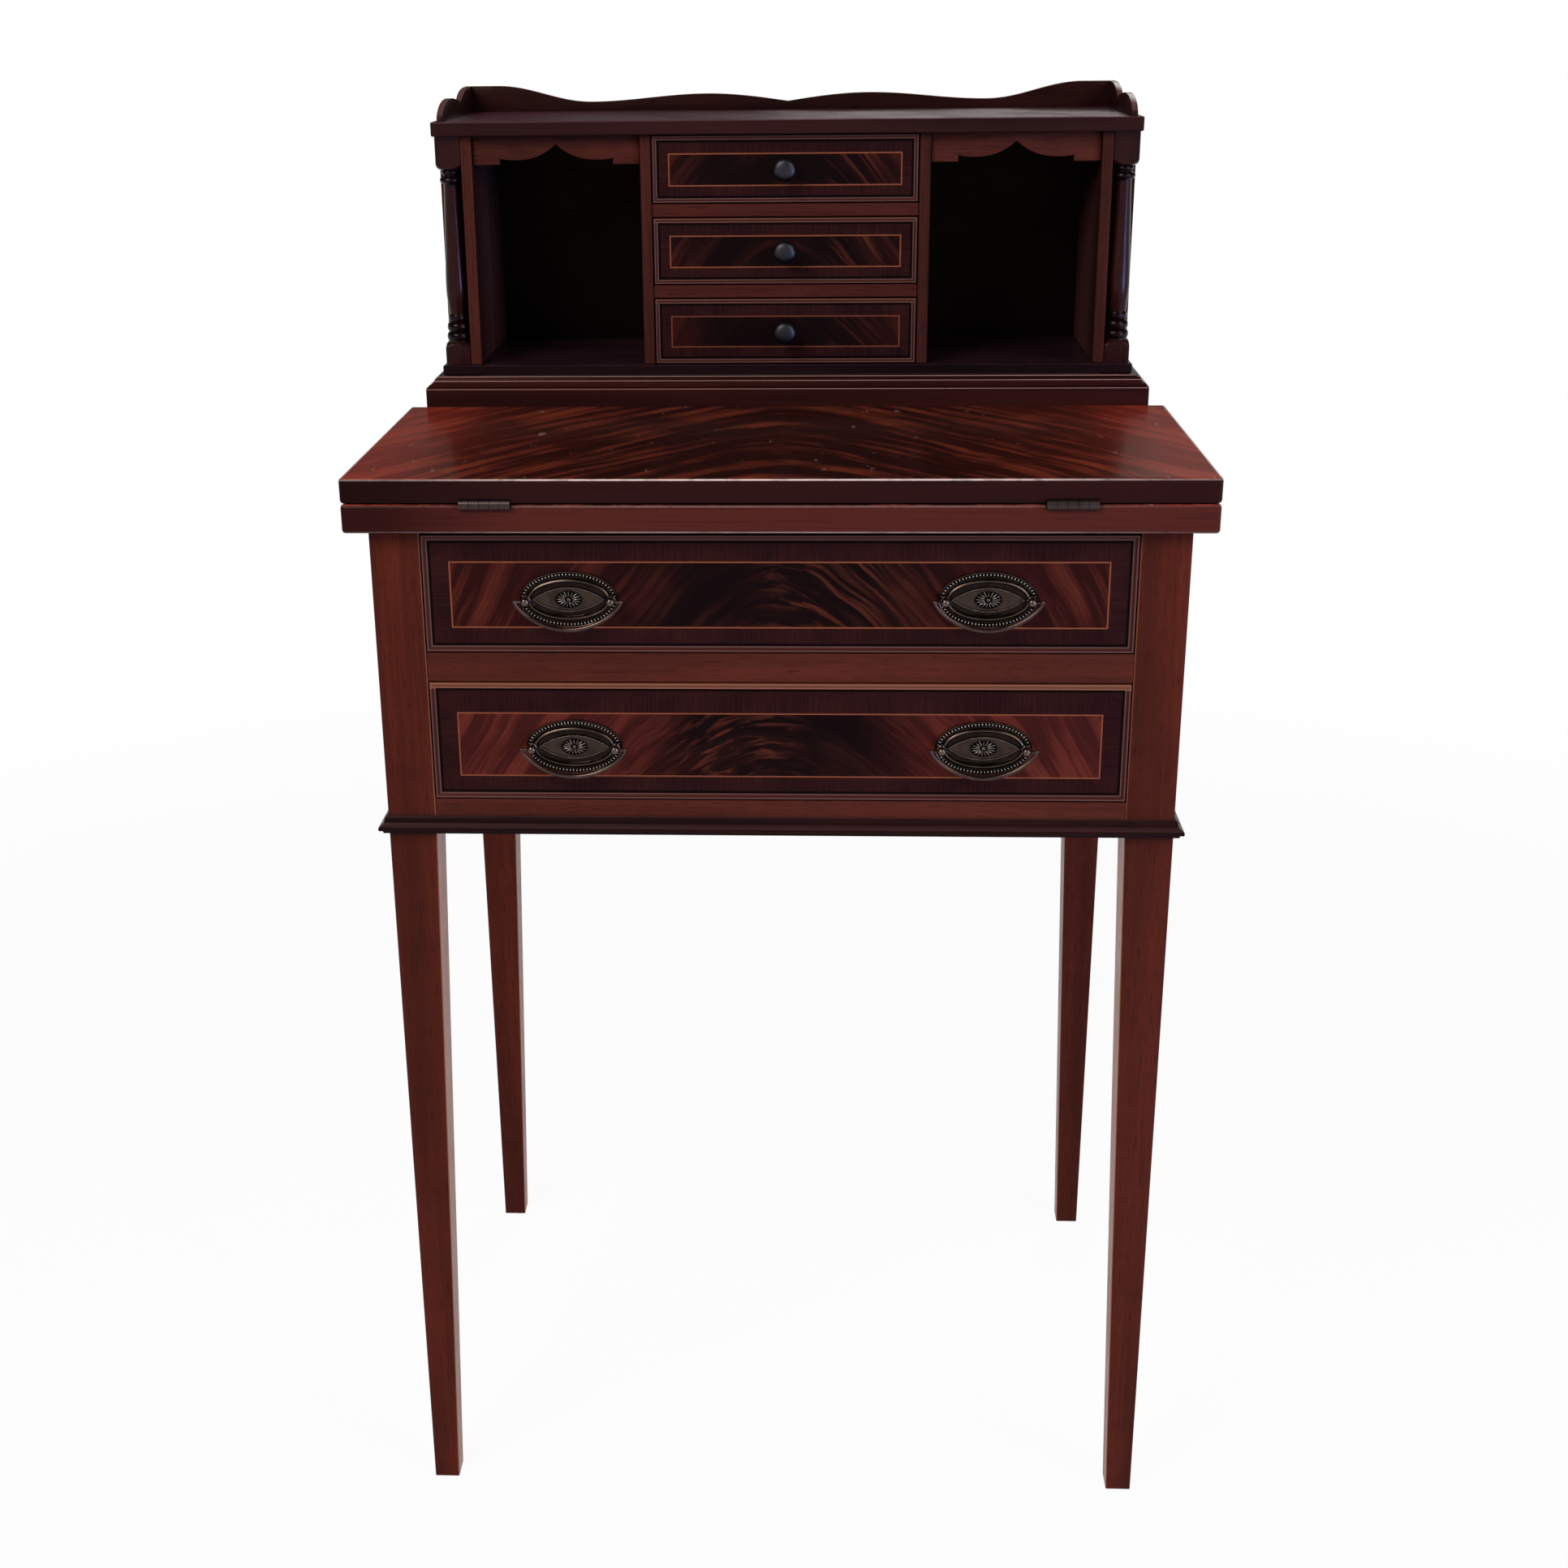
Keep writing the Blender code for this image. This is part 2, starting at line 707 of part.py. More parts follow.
def make_plinth():
    section = [
        (share * plinth_cap_width - plinth_cap_width, plinth_face_top_z + height * plinth_cap_height)
        for share, height in plinth_cap_shares
    ]
    section.append((0.0, lower_top_z + seat_gap))
    section.append((-plinth_wall_thickness, lower_top_z + seat_gap))
    section.append((-plinth_wall_thickness, plinth_top_z))
    mitred_moulding(
        "cabinet_plinth", section, plinth_half, plinth_front_y, cabinet_back_y, "mahogany",
    )


def make_cabinet_side(name, side):
    """A cabinet side, sawn away at its front outer corner where the column stands, and
    rebated at the back for the edge of the cabinet's back."""
    inner, wall, outer = side_inner_x, column_inner_x, cabinet_half
    front, back = cabinet_front_y, cabinet_back_y
    recess_back = cabinet_front_y + column_block_size + seat_gap
    rebate_x = inner + cabinet_back_rebate
    panel_y = cabinet_panel_y - seat_gap
    plan = [
        (inner, front), (wall - seat_gap, front), (wall - seat_gap, recess_back),
        (outer, recess_back), (outer, back), (rebate_x, back),
        (rebate_x, panel_y), (inner, panel_y),
    ]
    if side < 0:
        plan = [(-across, along) for across, along in reversed(plan)]
    height = cabinet_opening_height - 2 * seat_gap
    curve = outline_curve(name, plan, height)
    add_piece(name, curve, "mahogany", (0.0, 0.0, floor_top_z + cabinet_opening_height / 2))


def cut_back_rebate(target, low_z, high_z):
    """The rebate in a board's back edge that takes the edge of the cabinet's back."""
    half = side_inner_x + cabinet_back_rebate
    low = (-half, cabinet_panel_y - seat_gap, low_z)
    high = (half, cabinet_back_y + cut_overrun, high_z)
    cut(target, box_cutter(target.name + "_rebate", low, high))


def make_shelf():
    """The shelf over the cabinet, with the shallow housings that the gallery stands in."""
    shelf = board(
        "cabinet_shelf",
        (-shelf_half, shelf_front_y, shelf_z),
        (shelf_half, cabinet_back_y, shelf_top_z),
        "mahogany", arris=top_arris / 2, segments=top_edge_segments,
    )
    housing_z = shelf_top_z - gallery_housing_depth
    outer_x = gallery_outer_x + seat_gap
    inner_x = gallery_outer_x - gallery_thickness - seat_gap
    back_housing = box_cutter(
        "gallery_back_housing",
        (-outer_x, gallery_back_front_y - seat_gap, housing_z),
        (outer_x, cabinet_back_y + cut_overrun, shelf_top_z + cut_overrun),
    )
    cut(shelf, back_housing)
    for side_name, side in (("left", -1), ("right", 1)):
        xs = sorted((side * inner_x, side * outer_x))
        side_housing = box_cutter(
            "gallery_housing_" + side_name,
            (xs[0], gallery_front_y - seat_gap, housing_z),
            (xs[1], gallery_back_front_y, shelf_top_z + cut_overrun),
        )
        cut(shelf, side_housing)
    cut_back_rebate(shelf, shelf_z - cut_overrun, shelf_z + cabinet_back_rebate)


def make_cabinet_boards():
    floor = board(
        "cabinet_floor",
        (-floor_half, floor_front_y, plinth_top_z + seat_gap),
        (floor_half, cabinet_back_y, floor_top_z),
        "dark_mahogany",
    )
    cut_back_rebate(floor, floor_top_z - cabinet_back_rebate, floor_top_z + cut_overrun)
    make_shelf()
    low_z = floor_top_z + seat_gap
    high_z = shelf_z - seat_gap
    lap = cabinet_back_rebate - seat_gap
    board(
        "cabinet_back",
        (-side_inner_x - lap, cabinet_panel_y, floor_top_z - lap),
        (side_inner_x + lap, cabinet_back_y, shelf_z + lap),
        "dark_mahogany",
    )
    inner_back_y = cabinet_panel_y - seat_gap
    for side_name, low_x in (("left", -divider_outer_x), ("right", divider_inner_x)):
        board(
            "divider_" + side_name,
            (low_x, cabinet_front_y, low_z),
            (low_x + divider_thickness, inner_back_y, high_z),
            "mahogany",
        )
    rail_half = divider_inner_x - seat_gap
    for rail_name, number in (("lower", 1), ("upper", 2)):
        top_z = floor_top_z + number * small_drawer_pitch
        board(
            "small_rail_" + rail_name,
            (-rail_half, cabinet_front_y, top_z - small_rail_height),
            (rail_half, inner_back_y, top_z),
            "mahogany",
        )


def column_profile(low_z, cap_z):
    """Half outline of the turning between the base block and the cap block."""
    rings_z = low_z + column_base_rings_height
    neck_z = cap_z - column_cap_rings_height
    radius = column_block_size / 2
    sink = column_base_height / 4
    profile = [(0.0, cap_z + sink), (column_cap_ring_shares[0][0] * radius, cap_z + sink)]
    groups = (
        (column_cap_ring_shares, neck_z, column_cap_rings_height),
        (column_shaft_shares, rings_z, neck_z - rings_z),
        (column_base_ring_shares, low_z, column_base_rings_height),
    )
    for shares, start_z, height in groups:
        profile.extend((share * radius, start_z + up * height) for share, up in shares)
    profile.append((column_base_ring_shares[-1][0] * radius, low_z - sink))
    profile.append((0.0, low_z - sink))
    return profile


def make_column(name, side):
    """A turned column between two square blocks, worked from one length of wood."""
    centre_x = side * (cabinet_half - column_block_size / 2)
    centre_y = cabinet_front_y + column_block_size / 2
    low_z = floor_top_z + seat_gap
    high_z = shelf_z - seat_gap
    half = column_block_size / 2
    base_top_z = floor_top_z + column_base_height
    cap_z = shelf_z - column_cap_height
    column = board(
        name,
        (centre_x - half, centre_y - half, low_z),
        (centre_x + half, centre_y + half, base_top_z),
        "dark_mahogany",
    )
    turning = add_cutter(
        name + "_turning", turned_mesh(name + "_turning", column_profile(base_top_z, cap_z)),
        (centre_x, centre_y, 0.0),
    )
    add_turning(turning, turned_steps)
    join(column, turning)
    middle, size = middle_and_size(
        (centre_x - half, centre_y - half, cap_z), (centre_x + half, centre_y + half, high_z),
    )
    bm = box_bmesh(size)
    round_edges(bm, list(bm.edges), board_arris)
    cap = add_cutter(name + "_cap", mesh_from(bm, name + "_cap"), middle)
    join(column, cap)


def apron_outline(width):
    """Outline of an apron: a tab at each end and a bracket curve to the middle point."""
    shoulder = apron_shoulder_share * apron_height
    point = apron_point_share * apron_height
    tab = apron_tab_share * width
    points = [(0.0, 0.0), (0.0, -apron_height), (tab, -apron_height)]
    reach = width / 2 - tab
    for i in range(apron_steps + 1):
        share = i / apron_steps
        points.append((tab + share * reach, -shoulder + (shoulder - point) * share * share))
    mirrored = [(width - across, down) for across, down in reversed(points[:-1])]
    return list(reversed(points + mirrored))


def make_apron(name, low_x, high_x):
    width = high_x - low_x - 2 * seat_gap
    curve = outline_curve(name, apron_outline(width), apron_thickness)
    place = (
        low_x + seat_gap,
        cabinet_front_y + apron_setback + apron_thickness / 2,
        shelf_z - seat_gap,
    )
    apron = add_piece(name, curve, "mahogany", place)
    apron.rotation_euler = (math.radians(90.0), 0.0, 0.0)


# Gallery

def back_gallery_outline(half_width):
    """Upper edge of the back gallery: high ends, a dip, a hump and a notch in the middle."""
    stops = back_gallery_stop_shares
    heights = [
        gallery_height * back_gallery_notch_share,
        gallery_height * back_gallery_hump_share,
        gallery_height * back_gallery_low_share,
        gallery_height,
        gallery_height,
    ]
    edge = []
    for span in range(len(stops) - 2):
        for i in range(gallery_steps):
            share = i / gallery_steps
            across = stops[span] + (stops[span + 1] - stops[span]) * share
            if span == 0:
                lift = math.sin(share * math.pi / 2)
                up = heights[0] + (heights[1] - heights[0]) * lift
            else:
                up = ease(heights[span], heights[span + 1], share)
            edge.append((across * half_width, up))
    edge.append((stops[-2] * half_width, gallery_height))
    edge.append((half_width, gallery_height))
    left = [(-across, up) for across, up in reversed(edge[1:])]
    foot = [(-half_width, -gallery_tongue), (half_width, -gallery_tongue)]
    return foot + list(reversed(left + edge))


def side_gallery_outline(length):
    """Upper edge of a side gallery: a lobe at the front, a dip and a rise to the back."""
    crest, cusp, top = [share * length for share in side_gallery_stop_shares]
    lobe = side_gallery_lobe_share * gallery_height
    dip = side_gallery_dip_share * gallery_height
    points = [(0.0, -gallery_tongue), (length, -gallery_tongue), (length, gallery_height)]
    for i in range(gallery_steps + 1):
        angle = math.pi / 2 * i / gallery_steps
        across = cusp + (top - cusp) * (1 - math.sin(angle))
        points.append((across, dip + (gallery_height - dip) * math.cos(angle)))
    for i in range(1, gallery_steps + 1):
        share = i / gallery_steps
        across = cusp + (crest - cusp) * share
        points.append((across, lobe - (lobe - dip) * (1 - share) ** 2))
    for i in range(1, gallery_steps + 1):
        angle = math.pi / 2 * i / gallery_steps
        points.append((crest * (1 - math.sin(angle)), lobe * math.cos(angle)))
    return points


def make_gallery():
    half = gallery_outer_x
    curve = outline_curve("gallery_back", back_gallery_outline(half), gallery_thickness)
    middle_y = cabinet_back_y - gallery_thickness / 2
    back = add_piece("gallery_back", curve, "mahogany", (0.0, middle_y, shelf_top_z))
    back.rotation_euler = (math.radians(90.0), 0.0, 0.0)
    length = gallery_back_front_y - seat_gap - gallery_front_y
    for side_name, side in (("left", -1), ("right", 1)):
        name = "gallery_side_" + side_name
        curve = outline_curve(name, side_gallery_outline(length), gallery_thickness)
        middle_x = side * (gallery_outer_x - gallery_thickness / 2)
        piece = add_piece(name, curve, "mahogany", (middle_x, gallery_front_y, shelf_top_z))
        piece.rotation_euler = (math.radians(90.0), 0.0, math.radians(90.0))


def make_cabinet():
    make_plinth()
    make_cabinet_side("cabinet_side_left", -1)
    make_cabinet_side("cabinet_side_right", 1)
    make_cabinet_boards()
    make_column("column_left", -1)
    make_column("column_right", 1)
    make_apron("apron_left", -side_inner_x, -divider_outer_x)
    make_apron("apron_right", divider_outer_x, side_inner_x)
    make_gallery()


# Drawers

def make_drawer_front(name, half_width, low_z, high_z, front_y, thickness, bead, parent):
    """A drawer front with a rounded cock bead round its edge. front_y is the bead's crest
    and bead gives its width and projection."""
    bead_width, bead_projection = bead
    low = (-half_width, front_y, low_z)
    high = (half_width, front_y + bead_projection + thickness, high_z)
    middle, size = middle_and_size(low, high)
    bm = box_bmesh(size)
    bm.normal_update()
    face = [face for face in bm.faces if face.normal.y < -0.5]
    bmesh.ops.inset_individual(bm, faces=face, thickness=bead_width, depth=-bead_projection)
    crest_y = -size.y / 2
    crest_edges = []
    for edge in bm.edges:
        at_crest = all(abs(vert.co.y - crest_y) < bead_projection / 4 for vert in edge.verts)
        if at_crest and edge.calc_face_angle(0.0) > math.radians(45.0):
            crest_edges.append(edge)
    round_edges(bm, crest_edges, bead_width * bead_round_share, bead_segments)
    return add_piece(name, mesh_from(bm, name), "flame_veneer", middle, parent)


def drawer_tails(name, half_width, low_z, high_z, joint_y, size, count, clearance):
    """The dovetails at the front ends of both drawer sides, as one shape. size is their
    length and the thickness of a side, and clearance enlarges them into their sockets."""
    length, side = size
    bm = bmesh.new()
    pitch = (high_z - low_z) / count
    sink = side / 2
    xs = (half_width - side - clearance, half_width + clearance)
    ys = (joint_y - length - clearance, joint_y + sink)
    root = pitch * tail_root_share + 2 * clearance
    end = pitch * tail_end_share + 2 * clearance
    for side_sign in (-1, 1):
        for number in range(count):
            made = bmesh.ops.create_cube(bm, size=1.0)["verts"]
            bmesh.ops.scale(bm, vec=(xs[1] - xs[0], ys[1] - ys[0], root), verts=made)
            wide = [vert for vert in made if vert.co.y < 0.0]
            bmesh.ops.scale(bm, vec=(1.0, 1.0, end / root), verts=wide)
            middle_x = side_sign * (xs[0] + xs[1]) / 2
            middle_z = low_z + (number + 0.5) * pitch
            bmesh.ops.translate(bm, vec=(middle_x, (ys[0] + ys[1]) / 2, middle_z), verts=made)
    return add_cutter(name, mesh_from(bm, name), (0.0, 0.0, 0.0))


def join_drawer(front, tray, half_width, low_z, high_z, joint_y, size, count):
    """Dovetails the sides of a drawer into the back of its front, which laps over them."""
    spans = (half_width, low_z, high_z, joint_y, size, count)
    join(tray, drawer_tails(tray.name + "_tails", *spans, 0.0))
    cut(front, drawer_tails(front.name + "_sockets", *spans, seat_gap))


def make_drawer_box(name, half_width, low_z, high_z, front_y, back_y, walls, parent):
    """The sides, back and bottom of a drawer, open at the top and behind its front."""
    side, bottom = walls
    tray = board(
        name, (-half_width, front_y, low_z), (half_width, back_y, high_z), "drawer_lining", parent,
    )
    hollow = box_cutter(
        name + "_hollow",
        (side - half_width, front_y - cut_overrun, low_z + bottom),
        (half_width - side, back_y - side, high_z + cut_overrun),
    )
    cut(tray, hollow)
    return tray


def make_handle(drawer_name, side_name, centre_x, face_y, centre_z, parent):
    """A stamped oval plate with two ball posts, and the bail that hangs in them."""
    name = "handle_plate_" + drawer_name + "_" + side_name
    half_length = handle_plate_length / 2
    half_height = handle_plate_height / 2
    bm = bmesh.new()
    made = bmesh.ops.create_circle(bm, cap_ends=True, segments=oval_sides, radius=1.0)
    verts = made["verts"]
    bmesh.ops.scale(bm, vec=(half_length, half_height, 1.0), verts=verts)
    edges = list(bm.edges)
    last = (1.0, 1.0, 0.0)
    for across, up, relief in plate_shares:
        made = bmesh.ops.extrude_edge_only(bm, edges=edges)["geom"]
        new_verts = [part for part in made if isinstance(part, bmesh.types.BMVert)]
        edges = [
            part for part in made
            if isinstance(part, bmesh.types.BMEdge) and all(v in new_verts for v in part.verts)
        ]
        bmesh.ops.scale(bm, vec=(across / last[0], up / last[1], 1.0), verts=new_verts)
        rise = (relief - last[2]) * handle_plate_relief
        bmesh.ops.translate(bm, vec=(0.0, 0.0, rise), verts=new_verts)
        last = (across, up, relief)
    bmesh.ops.holes_fill(bm, edges=edges, sides=0)
    bmesh.ops.recalc_face_normals(bm, faces=list(bm.faces))
    plate_mesh = mesh_from(bm, name)
    place = Vector((centre_x, face_y - seat_gap, centre_z))
    plate = add_piece(name, plate_mesh, "antique_brass", place, parent)
    upright = (math.radians(90.0), 0.0, 0.0)
    plate.rotation_euler = upright
    plate_mesh.shade_smooth()
    plate_mesh.set_sharp_from_angle(angle=math.radians(50.0))

    ball_radius = handle_ball_diameter / 2
    neck_radius = handle_neck_diameter / 2
    neck_top = handle_post_reach - math.sqrt(ball_radius ** 2 - neck_radius ** 2)
    profile = []
    neck_angle = math.pi - math.asin(neck_radius / ball_radius)
    for i in range(ball_steps + 1):
        angle = neck_angle * i / ball_steps
        height = handle_post_reach + ball_radius * math.cos(angle)
        profile.append((ball_radius * math.sin(angle), height))
    profile[-1] = (neck_radius, neck_top)
    root_z = plate_shares[0][2] * handle_plate_relief / 2
    profile.append((neck_radius, root_z))
    profile.append((0.0, root_z))
    for post_name, post_side in (("left", -1), ("right", 1)):
        post_label = name + "_post_" + post_name
        post_x = centre_x + post_side * handle_post_spacing / 2
        post = add_cutter(
            post_label, turned_mesh(post_label, profile), (post_x, place.y, centre_z),
        )
        post.rotation_euler = upright
        add_turning(post, post_sides)
        join(plate, post)

    make_bail("bail_" + drawer_name + "_" + side_name, centre_x, place.y, centre_z, parent)


def make_bail(name, centre_x, plate_y, centre_z, parent):
    """The swinging bail. Its ends turn inwards to the ball posts, on the pivot axis."""
    wire_radius = bail_wire_diameter / 2
    end_radius = wire_radius * bail_end_share
    half_width = bail_width / 2 - end_radius
    drop = bail_drop - wire_radius
    pivot_x = handle_post_spacing / 2 + handle_ball_diameter / 2 + seat_gap
    points = []
    for i in range(bail_points):
        angle = math.pi * i / (bail_points - 1)
        across = -half_width * math.cos(angle)
        down = -drop * math.sin(angle) ** bail_curve_power
        thickness = bail_end_share + (1 - bail_end_share) * math.sin(angle)
        points.append((across, down, thickness))
    points.insert(0, (-pivot_x, 0.0, bail_end_share))
    points.append((pivot_x, 0.0, bail_end_share))
    curve = bpy.data.curves.new(name, "CURVE")
    curve.dimensions = "3D"
    curve.bevel_depth = wire_radius
    curve.bevel_resolution = 2
    curve.use_fill_caps = True
    spline = curve.splines.new("POLY")
    spline.points.add(len(points) - 1)
    for point, (across, up, thickness) in zip(spline.points, points):
        point.co = (across, up, 0.0, 1.0)
        point.radius = thickness
    place = (centre_x, plate_y - handle_post_reach, centre_z)
    bail = add_piece(name, curve, "antique_brass", place, parent)
    bail.rotation_euler = (math.radians(90.0), 0.0, 0.0)


def make_long_drawer(drawer_name, low_z, high_z, runner_z):
    axis = add_axis("long_drawer_" + drawer_name + "_slide", (0.0, carcase_front_y, low_z))
    half = long_drawer_half
    crest_y = carcase_front_y - long_bead_projection / 2
    front = make_drawer_front(
        "long_drawer_front_" + drawer_name, half, low_z, high_z, crest_y,
        long_front_thickness, (long_bead_width, long_bead_projection), axis,
    )
    face_y = crest_y + long_bead_projection
    joint_y = face_y + long_front_thickness + seat_gap
    box_low_z = runner_z + seat_gap
    box_high_z = high_z - long_side_drop
    tray = make_drawer_box(
        "long_drawer_box_" + drawer_name, half, box_low_z, box_high_z, joint_y,
        long_drawer_back_y, (long_side_thickness, long_bottom_thickness), axis,
    )
    tail_size = (long_front_thickness - long_front_lap, long_side_thickness)
    join_drawer(front, tray, half, low_z, box_high_z, joint_y, tail_size, long_tail_count)
    handle_z = (low_z + high_z) / 2 - handle_centre_drop
    for side_name, side in (("left", -1), ("right", 1)):
        make_handle(drawer_name, side_name, side * handle_x, face_y, handle_z, axis)


def make_small_drawer(drawer_name, number):
    """One of the three small drawers, counted from the bottom."""
    runner_z = floor_top_z + number * small_drawer_pitch
    low_z = runner_z + running_gap
    high_z = low_z + small_drawer_height
    axis = add_axis("small_drawer_" + drawer_name + "_slide", (0.0, cabinet_front_y, low_z))
    half = divider_inner_x - running_gap
    crest_y = cabinet_front_y - small_bead_projection / 2
    front = make_drawer_front(
        "small_drawer_front_" + drawer_name, half, low_z, high_z, crest_y,
        small_front_thickness, (small_bead_width, small_bead_projection), axis,
    )
    face_y = crest_y + small_bead_projection
    joint_y = face_y + small_front_thickness + seat_gap
    box_high_z = high_z - small_side_drop
    tray = make_drawer_box(
        "small_drawer_box_" + drawer_name, half, runner_z + seat_gap, box_high_z, joint_y,
        small_drawer_back_y, (small_side_thickness, small_bottom_thickness), axis,
    )
    tail_size = (small_front_thickness - small_front_lap, small_side_thickness)
    join_drawer(front, tray, half, low_z, box_high_z, joint_y, tail_size, small_tail_count)
    radius = knob_diameter / 2
    profile = [(share * radius, up * knob_reach) for share, up in knob_shares]
    name = "small_knob_" + drawer_name
    place = (0.0, face_y - seat_gap, (low_z + high_z) / 2)
    knob = add_piece(name, turned_mesh(name, profile), "knob_bronze", place, axis)
    knob.rotation_euler = (math.radians(90.0), 0.0, 0.0)
    add_turning(knob, turned_steps)


def make_drawers():
    make_long_drawer("upper", upper_drawer_z, upper_drawer_top_z, middle_rail_top_z)
    make_long_drawer("lower", lower_drawer_z, lower_drawer_top_z, bottom_rail_top_z)
    for number, drawer_name in enumerate(("bottom", "middle", "top")):
        make_small_drawer(drawer_name, number)


clear_scene()
make_legs()
make_carcase()
make_tops()
make_cabinet()
make_drawers()
bpy.context.view_layer.update()
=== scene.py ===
import math

import bmesh
import bpy
from mathutils import Matrix, Vector


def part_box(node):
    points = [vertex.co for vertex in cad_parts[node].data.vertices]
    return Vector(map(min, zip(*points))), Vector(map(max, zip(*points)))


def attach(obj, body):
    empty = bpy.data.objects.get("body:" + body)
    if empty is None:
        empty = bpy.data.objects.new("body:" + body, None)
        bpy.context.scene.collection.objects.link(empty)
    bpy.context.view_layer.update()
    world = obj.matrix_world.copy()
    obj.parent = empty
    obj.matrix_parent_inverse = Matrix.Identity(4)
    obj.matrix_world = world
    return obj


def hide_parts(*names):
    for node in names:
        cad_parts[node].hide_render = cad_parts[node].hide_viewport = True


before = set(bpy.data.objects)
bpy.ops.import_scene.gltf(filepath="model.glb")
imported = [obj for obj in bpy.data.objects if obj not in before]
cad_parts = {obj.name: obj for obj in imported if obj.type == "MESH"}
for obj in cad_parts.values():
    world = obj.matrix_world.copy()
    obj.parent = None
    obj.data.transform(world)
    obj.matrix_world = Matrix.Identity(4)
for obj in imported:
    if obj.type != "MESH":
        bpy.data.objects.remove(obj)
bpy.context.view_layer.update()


# The room
# The desk stands on a pale floor that rises into a low white backdrop all round, under two
# soft lamps, a window low on the right and a weak lamp behind. The room above the backdrop
# is dim and warm, though it looks white. The camera stands where the photograph was taken.

picture_pixels = 1932
sensor_width = 36.0
camera_focal_pixels = 2612.5
camera_centre_pixel = 902.2
camera_place = (0.0331, -1.5645, 1.0940)
camera_pitch = 0.35633
camera_yaw = 0.04732
camera_roll = -0.01108
floor_radius = 3.6
backdrop_bend = 0.9
backdrop_height = 1.12
backdrop_steps = 64
bend_steps = 12
floor_white = 0.82
near_glow_share = 0.95
near_reach = 1.1
far_reach = 2.3
room_level = 0.06
room_gloss_share = 0.05
room_colour = (1.0, 0.84, 0.74, 1.0)
room_white = (1.0, 1.0, 1.0, 1.0)
warm_white = (1.0, 0.97, 0.93)
window_blue = (0.20, 0.45, 1.0)
lamps = [
    ("key_lamp", (-1.25, -1.75, 2.35), 1.3, 1.3, 57.0, warm_white),
    ("fill_lamp", (1.70, -1.55, 1.90), 1.4, 1.4, 27.5, warm_white),
    ("window_lamp", (1.80, -1.25, 0.66), 1.0, 0.4, 28.0, window_blue),
    ("back_lamp", (0.50, 2.10, 2.10), 1.2, 1.2, 16.0, warm_white),
]
lamp_target = Vector((0.0, 0.0, 0.72))
smooth_corner = math.radians(38.0)
same_place = 0.000001


def arithmetic(operation, swapped=False):
    """A method that does this operation on a wire and whatever stands beside it."""

    def work(wire, *others):
        terms = (*others, wire) if swapped else (wire, *others)
        return wire.finish.node(
            "ShaderNodeMath", {"operation": operation}, dict(enumerate(terms)),
        )

    return work


class Wire:
    """One output among a finish's nodes, which can be used in plain arithmetic."""

    __add__ = __radd__ = arithmetic("ADD")
    __sub__ = arithmetic("SUBTRACT")
    __rsub__ = arithmetic("SUBTRACT", swapped=True)
    __mul__ = __rmul__ = arithmetic("MULTIPLY")
    __pow__ = arithmetic("POWER")
    __lt__ = arithmetic("LESS_THAN")
    __gt__ = arithmetic("GREATER_THAN")
    __abs__ = arithmetic("ABSOLUTE")
    least = arithmetic("MINIMUM")

    def __init__(self, finish, socket):
        self.finish = finish
        self.socket = socket

    def of(self, name):
        """Another output of the same node."""
        return Wire(self.finish, self.socket.node.outputs[name])


class Finish:
    """A finish, or the light of the room, and the nodes that make it."""

    def __init__(self, name, tree=None):
        self.material = None
        if tree is None:
            self.material = bpy.data.materials.new(name)
            self.material.use_nodes = True
            tree = self.material.node_tree
        self.tree = tree
        self.tree.nodes.clear()

    def node(self, kind, settings=None, sockets=None, output=0):
        """Adds a node. Its settings are set first, then its sockets get values or wires."""
        made = self.tree.nodes.new(kind)
        for name, value in (settings or {}).items():
            setattr(made, name, value)
        for name, value in (sockets or {}).items():
            if isinstance(value, Wire):
                self.tree.links.new(value.socket, made.inputs[name])
            else:
                made.inputs[name].default_value = value
        return Wire(self, made.outputs[output]) if made.outputs else None

    def between(self, value, low, high):
        """Zero below low, one above high, and a smooth rise between them."""
        sockets = {"Value": value, "From Min": low, "From Max": high}
        return self.node(
            "ShaderNodeMapRange", {"interpolation_type": "SMOOTHSTEP"}, sockets,
        )

    def seen_directly(self, gloss_share=1.0):
        """How far a ray shows the background: wholly for the eye and glass, and for gloss the
        share given."""
        path = self.node("ShaderNodeLightPath")
        seen = path.of("Is Camera Ray") + path.of("Is Transmission Ray")
        return (seen + path.of("Is Glossy Ray") * gloss_share).least(1.0)


def put_in_scene(name, data):
    thing = bpy.data.objects.new(name, data)
    bpy.context.scene.collection.objects.link(thing)
    return thing


def light_the_room():
    scene = bpy.context.scene
    scene.view_settings.view_transform = "Standard"
    scene.world = bpy.data.worlds.new("studio")
    scene.world.use_nodes = True
    room = Finish("studio", scene.world.node_tree)
    dim = room.node(
        "ShaderNodeBackground", sockets={"Color": room_colour, "Strength": room_level},
    )
    white = room.node("ShaderNodeBackground", sockets={"Color": room_white, "Strength": 1.0})
    seen = room.seen_directly(room_gloss_share)
    above = room.node("ShaderNodeMixShader", sockets={0: seen, 1: dim, 2: white})
    room.node("ShaderNodeOutputWorld", sockets={"Surface": above})
    for name, place, width, height, power, colour in lamps:
        lamp_data = bpy.data.lights.new(name, "AREA")
        lamp_data.shape = "RECTANGLE"
        lamp_data.size = width
        lamp_data.size_y = height
        lamp_data.energy = power
        lamp_data.color = colour
        lamp = put_in_scene(name, lamp_data)
        lamp.location = place
        lamp.rotation_euler = (lamp_target - Vector(place)).to_track_quat("-Z", "Y").to_euler()


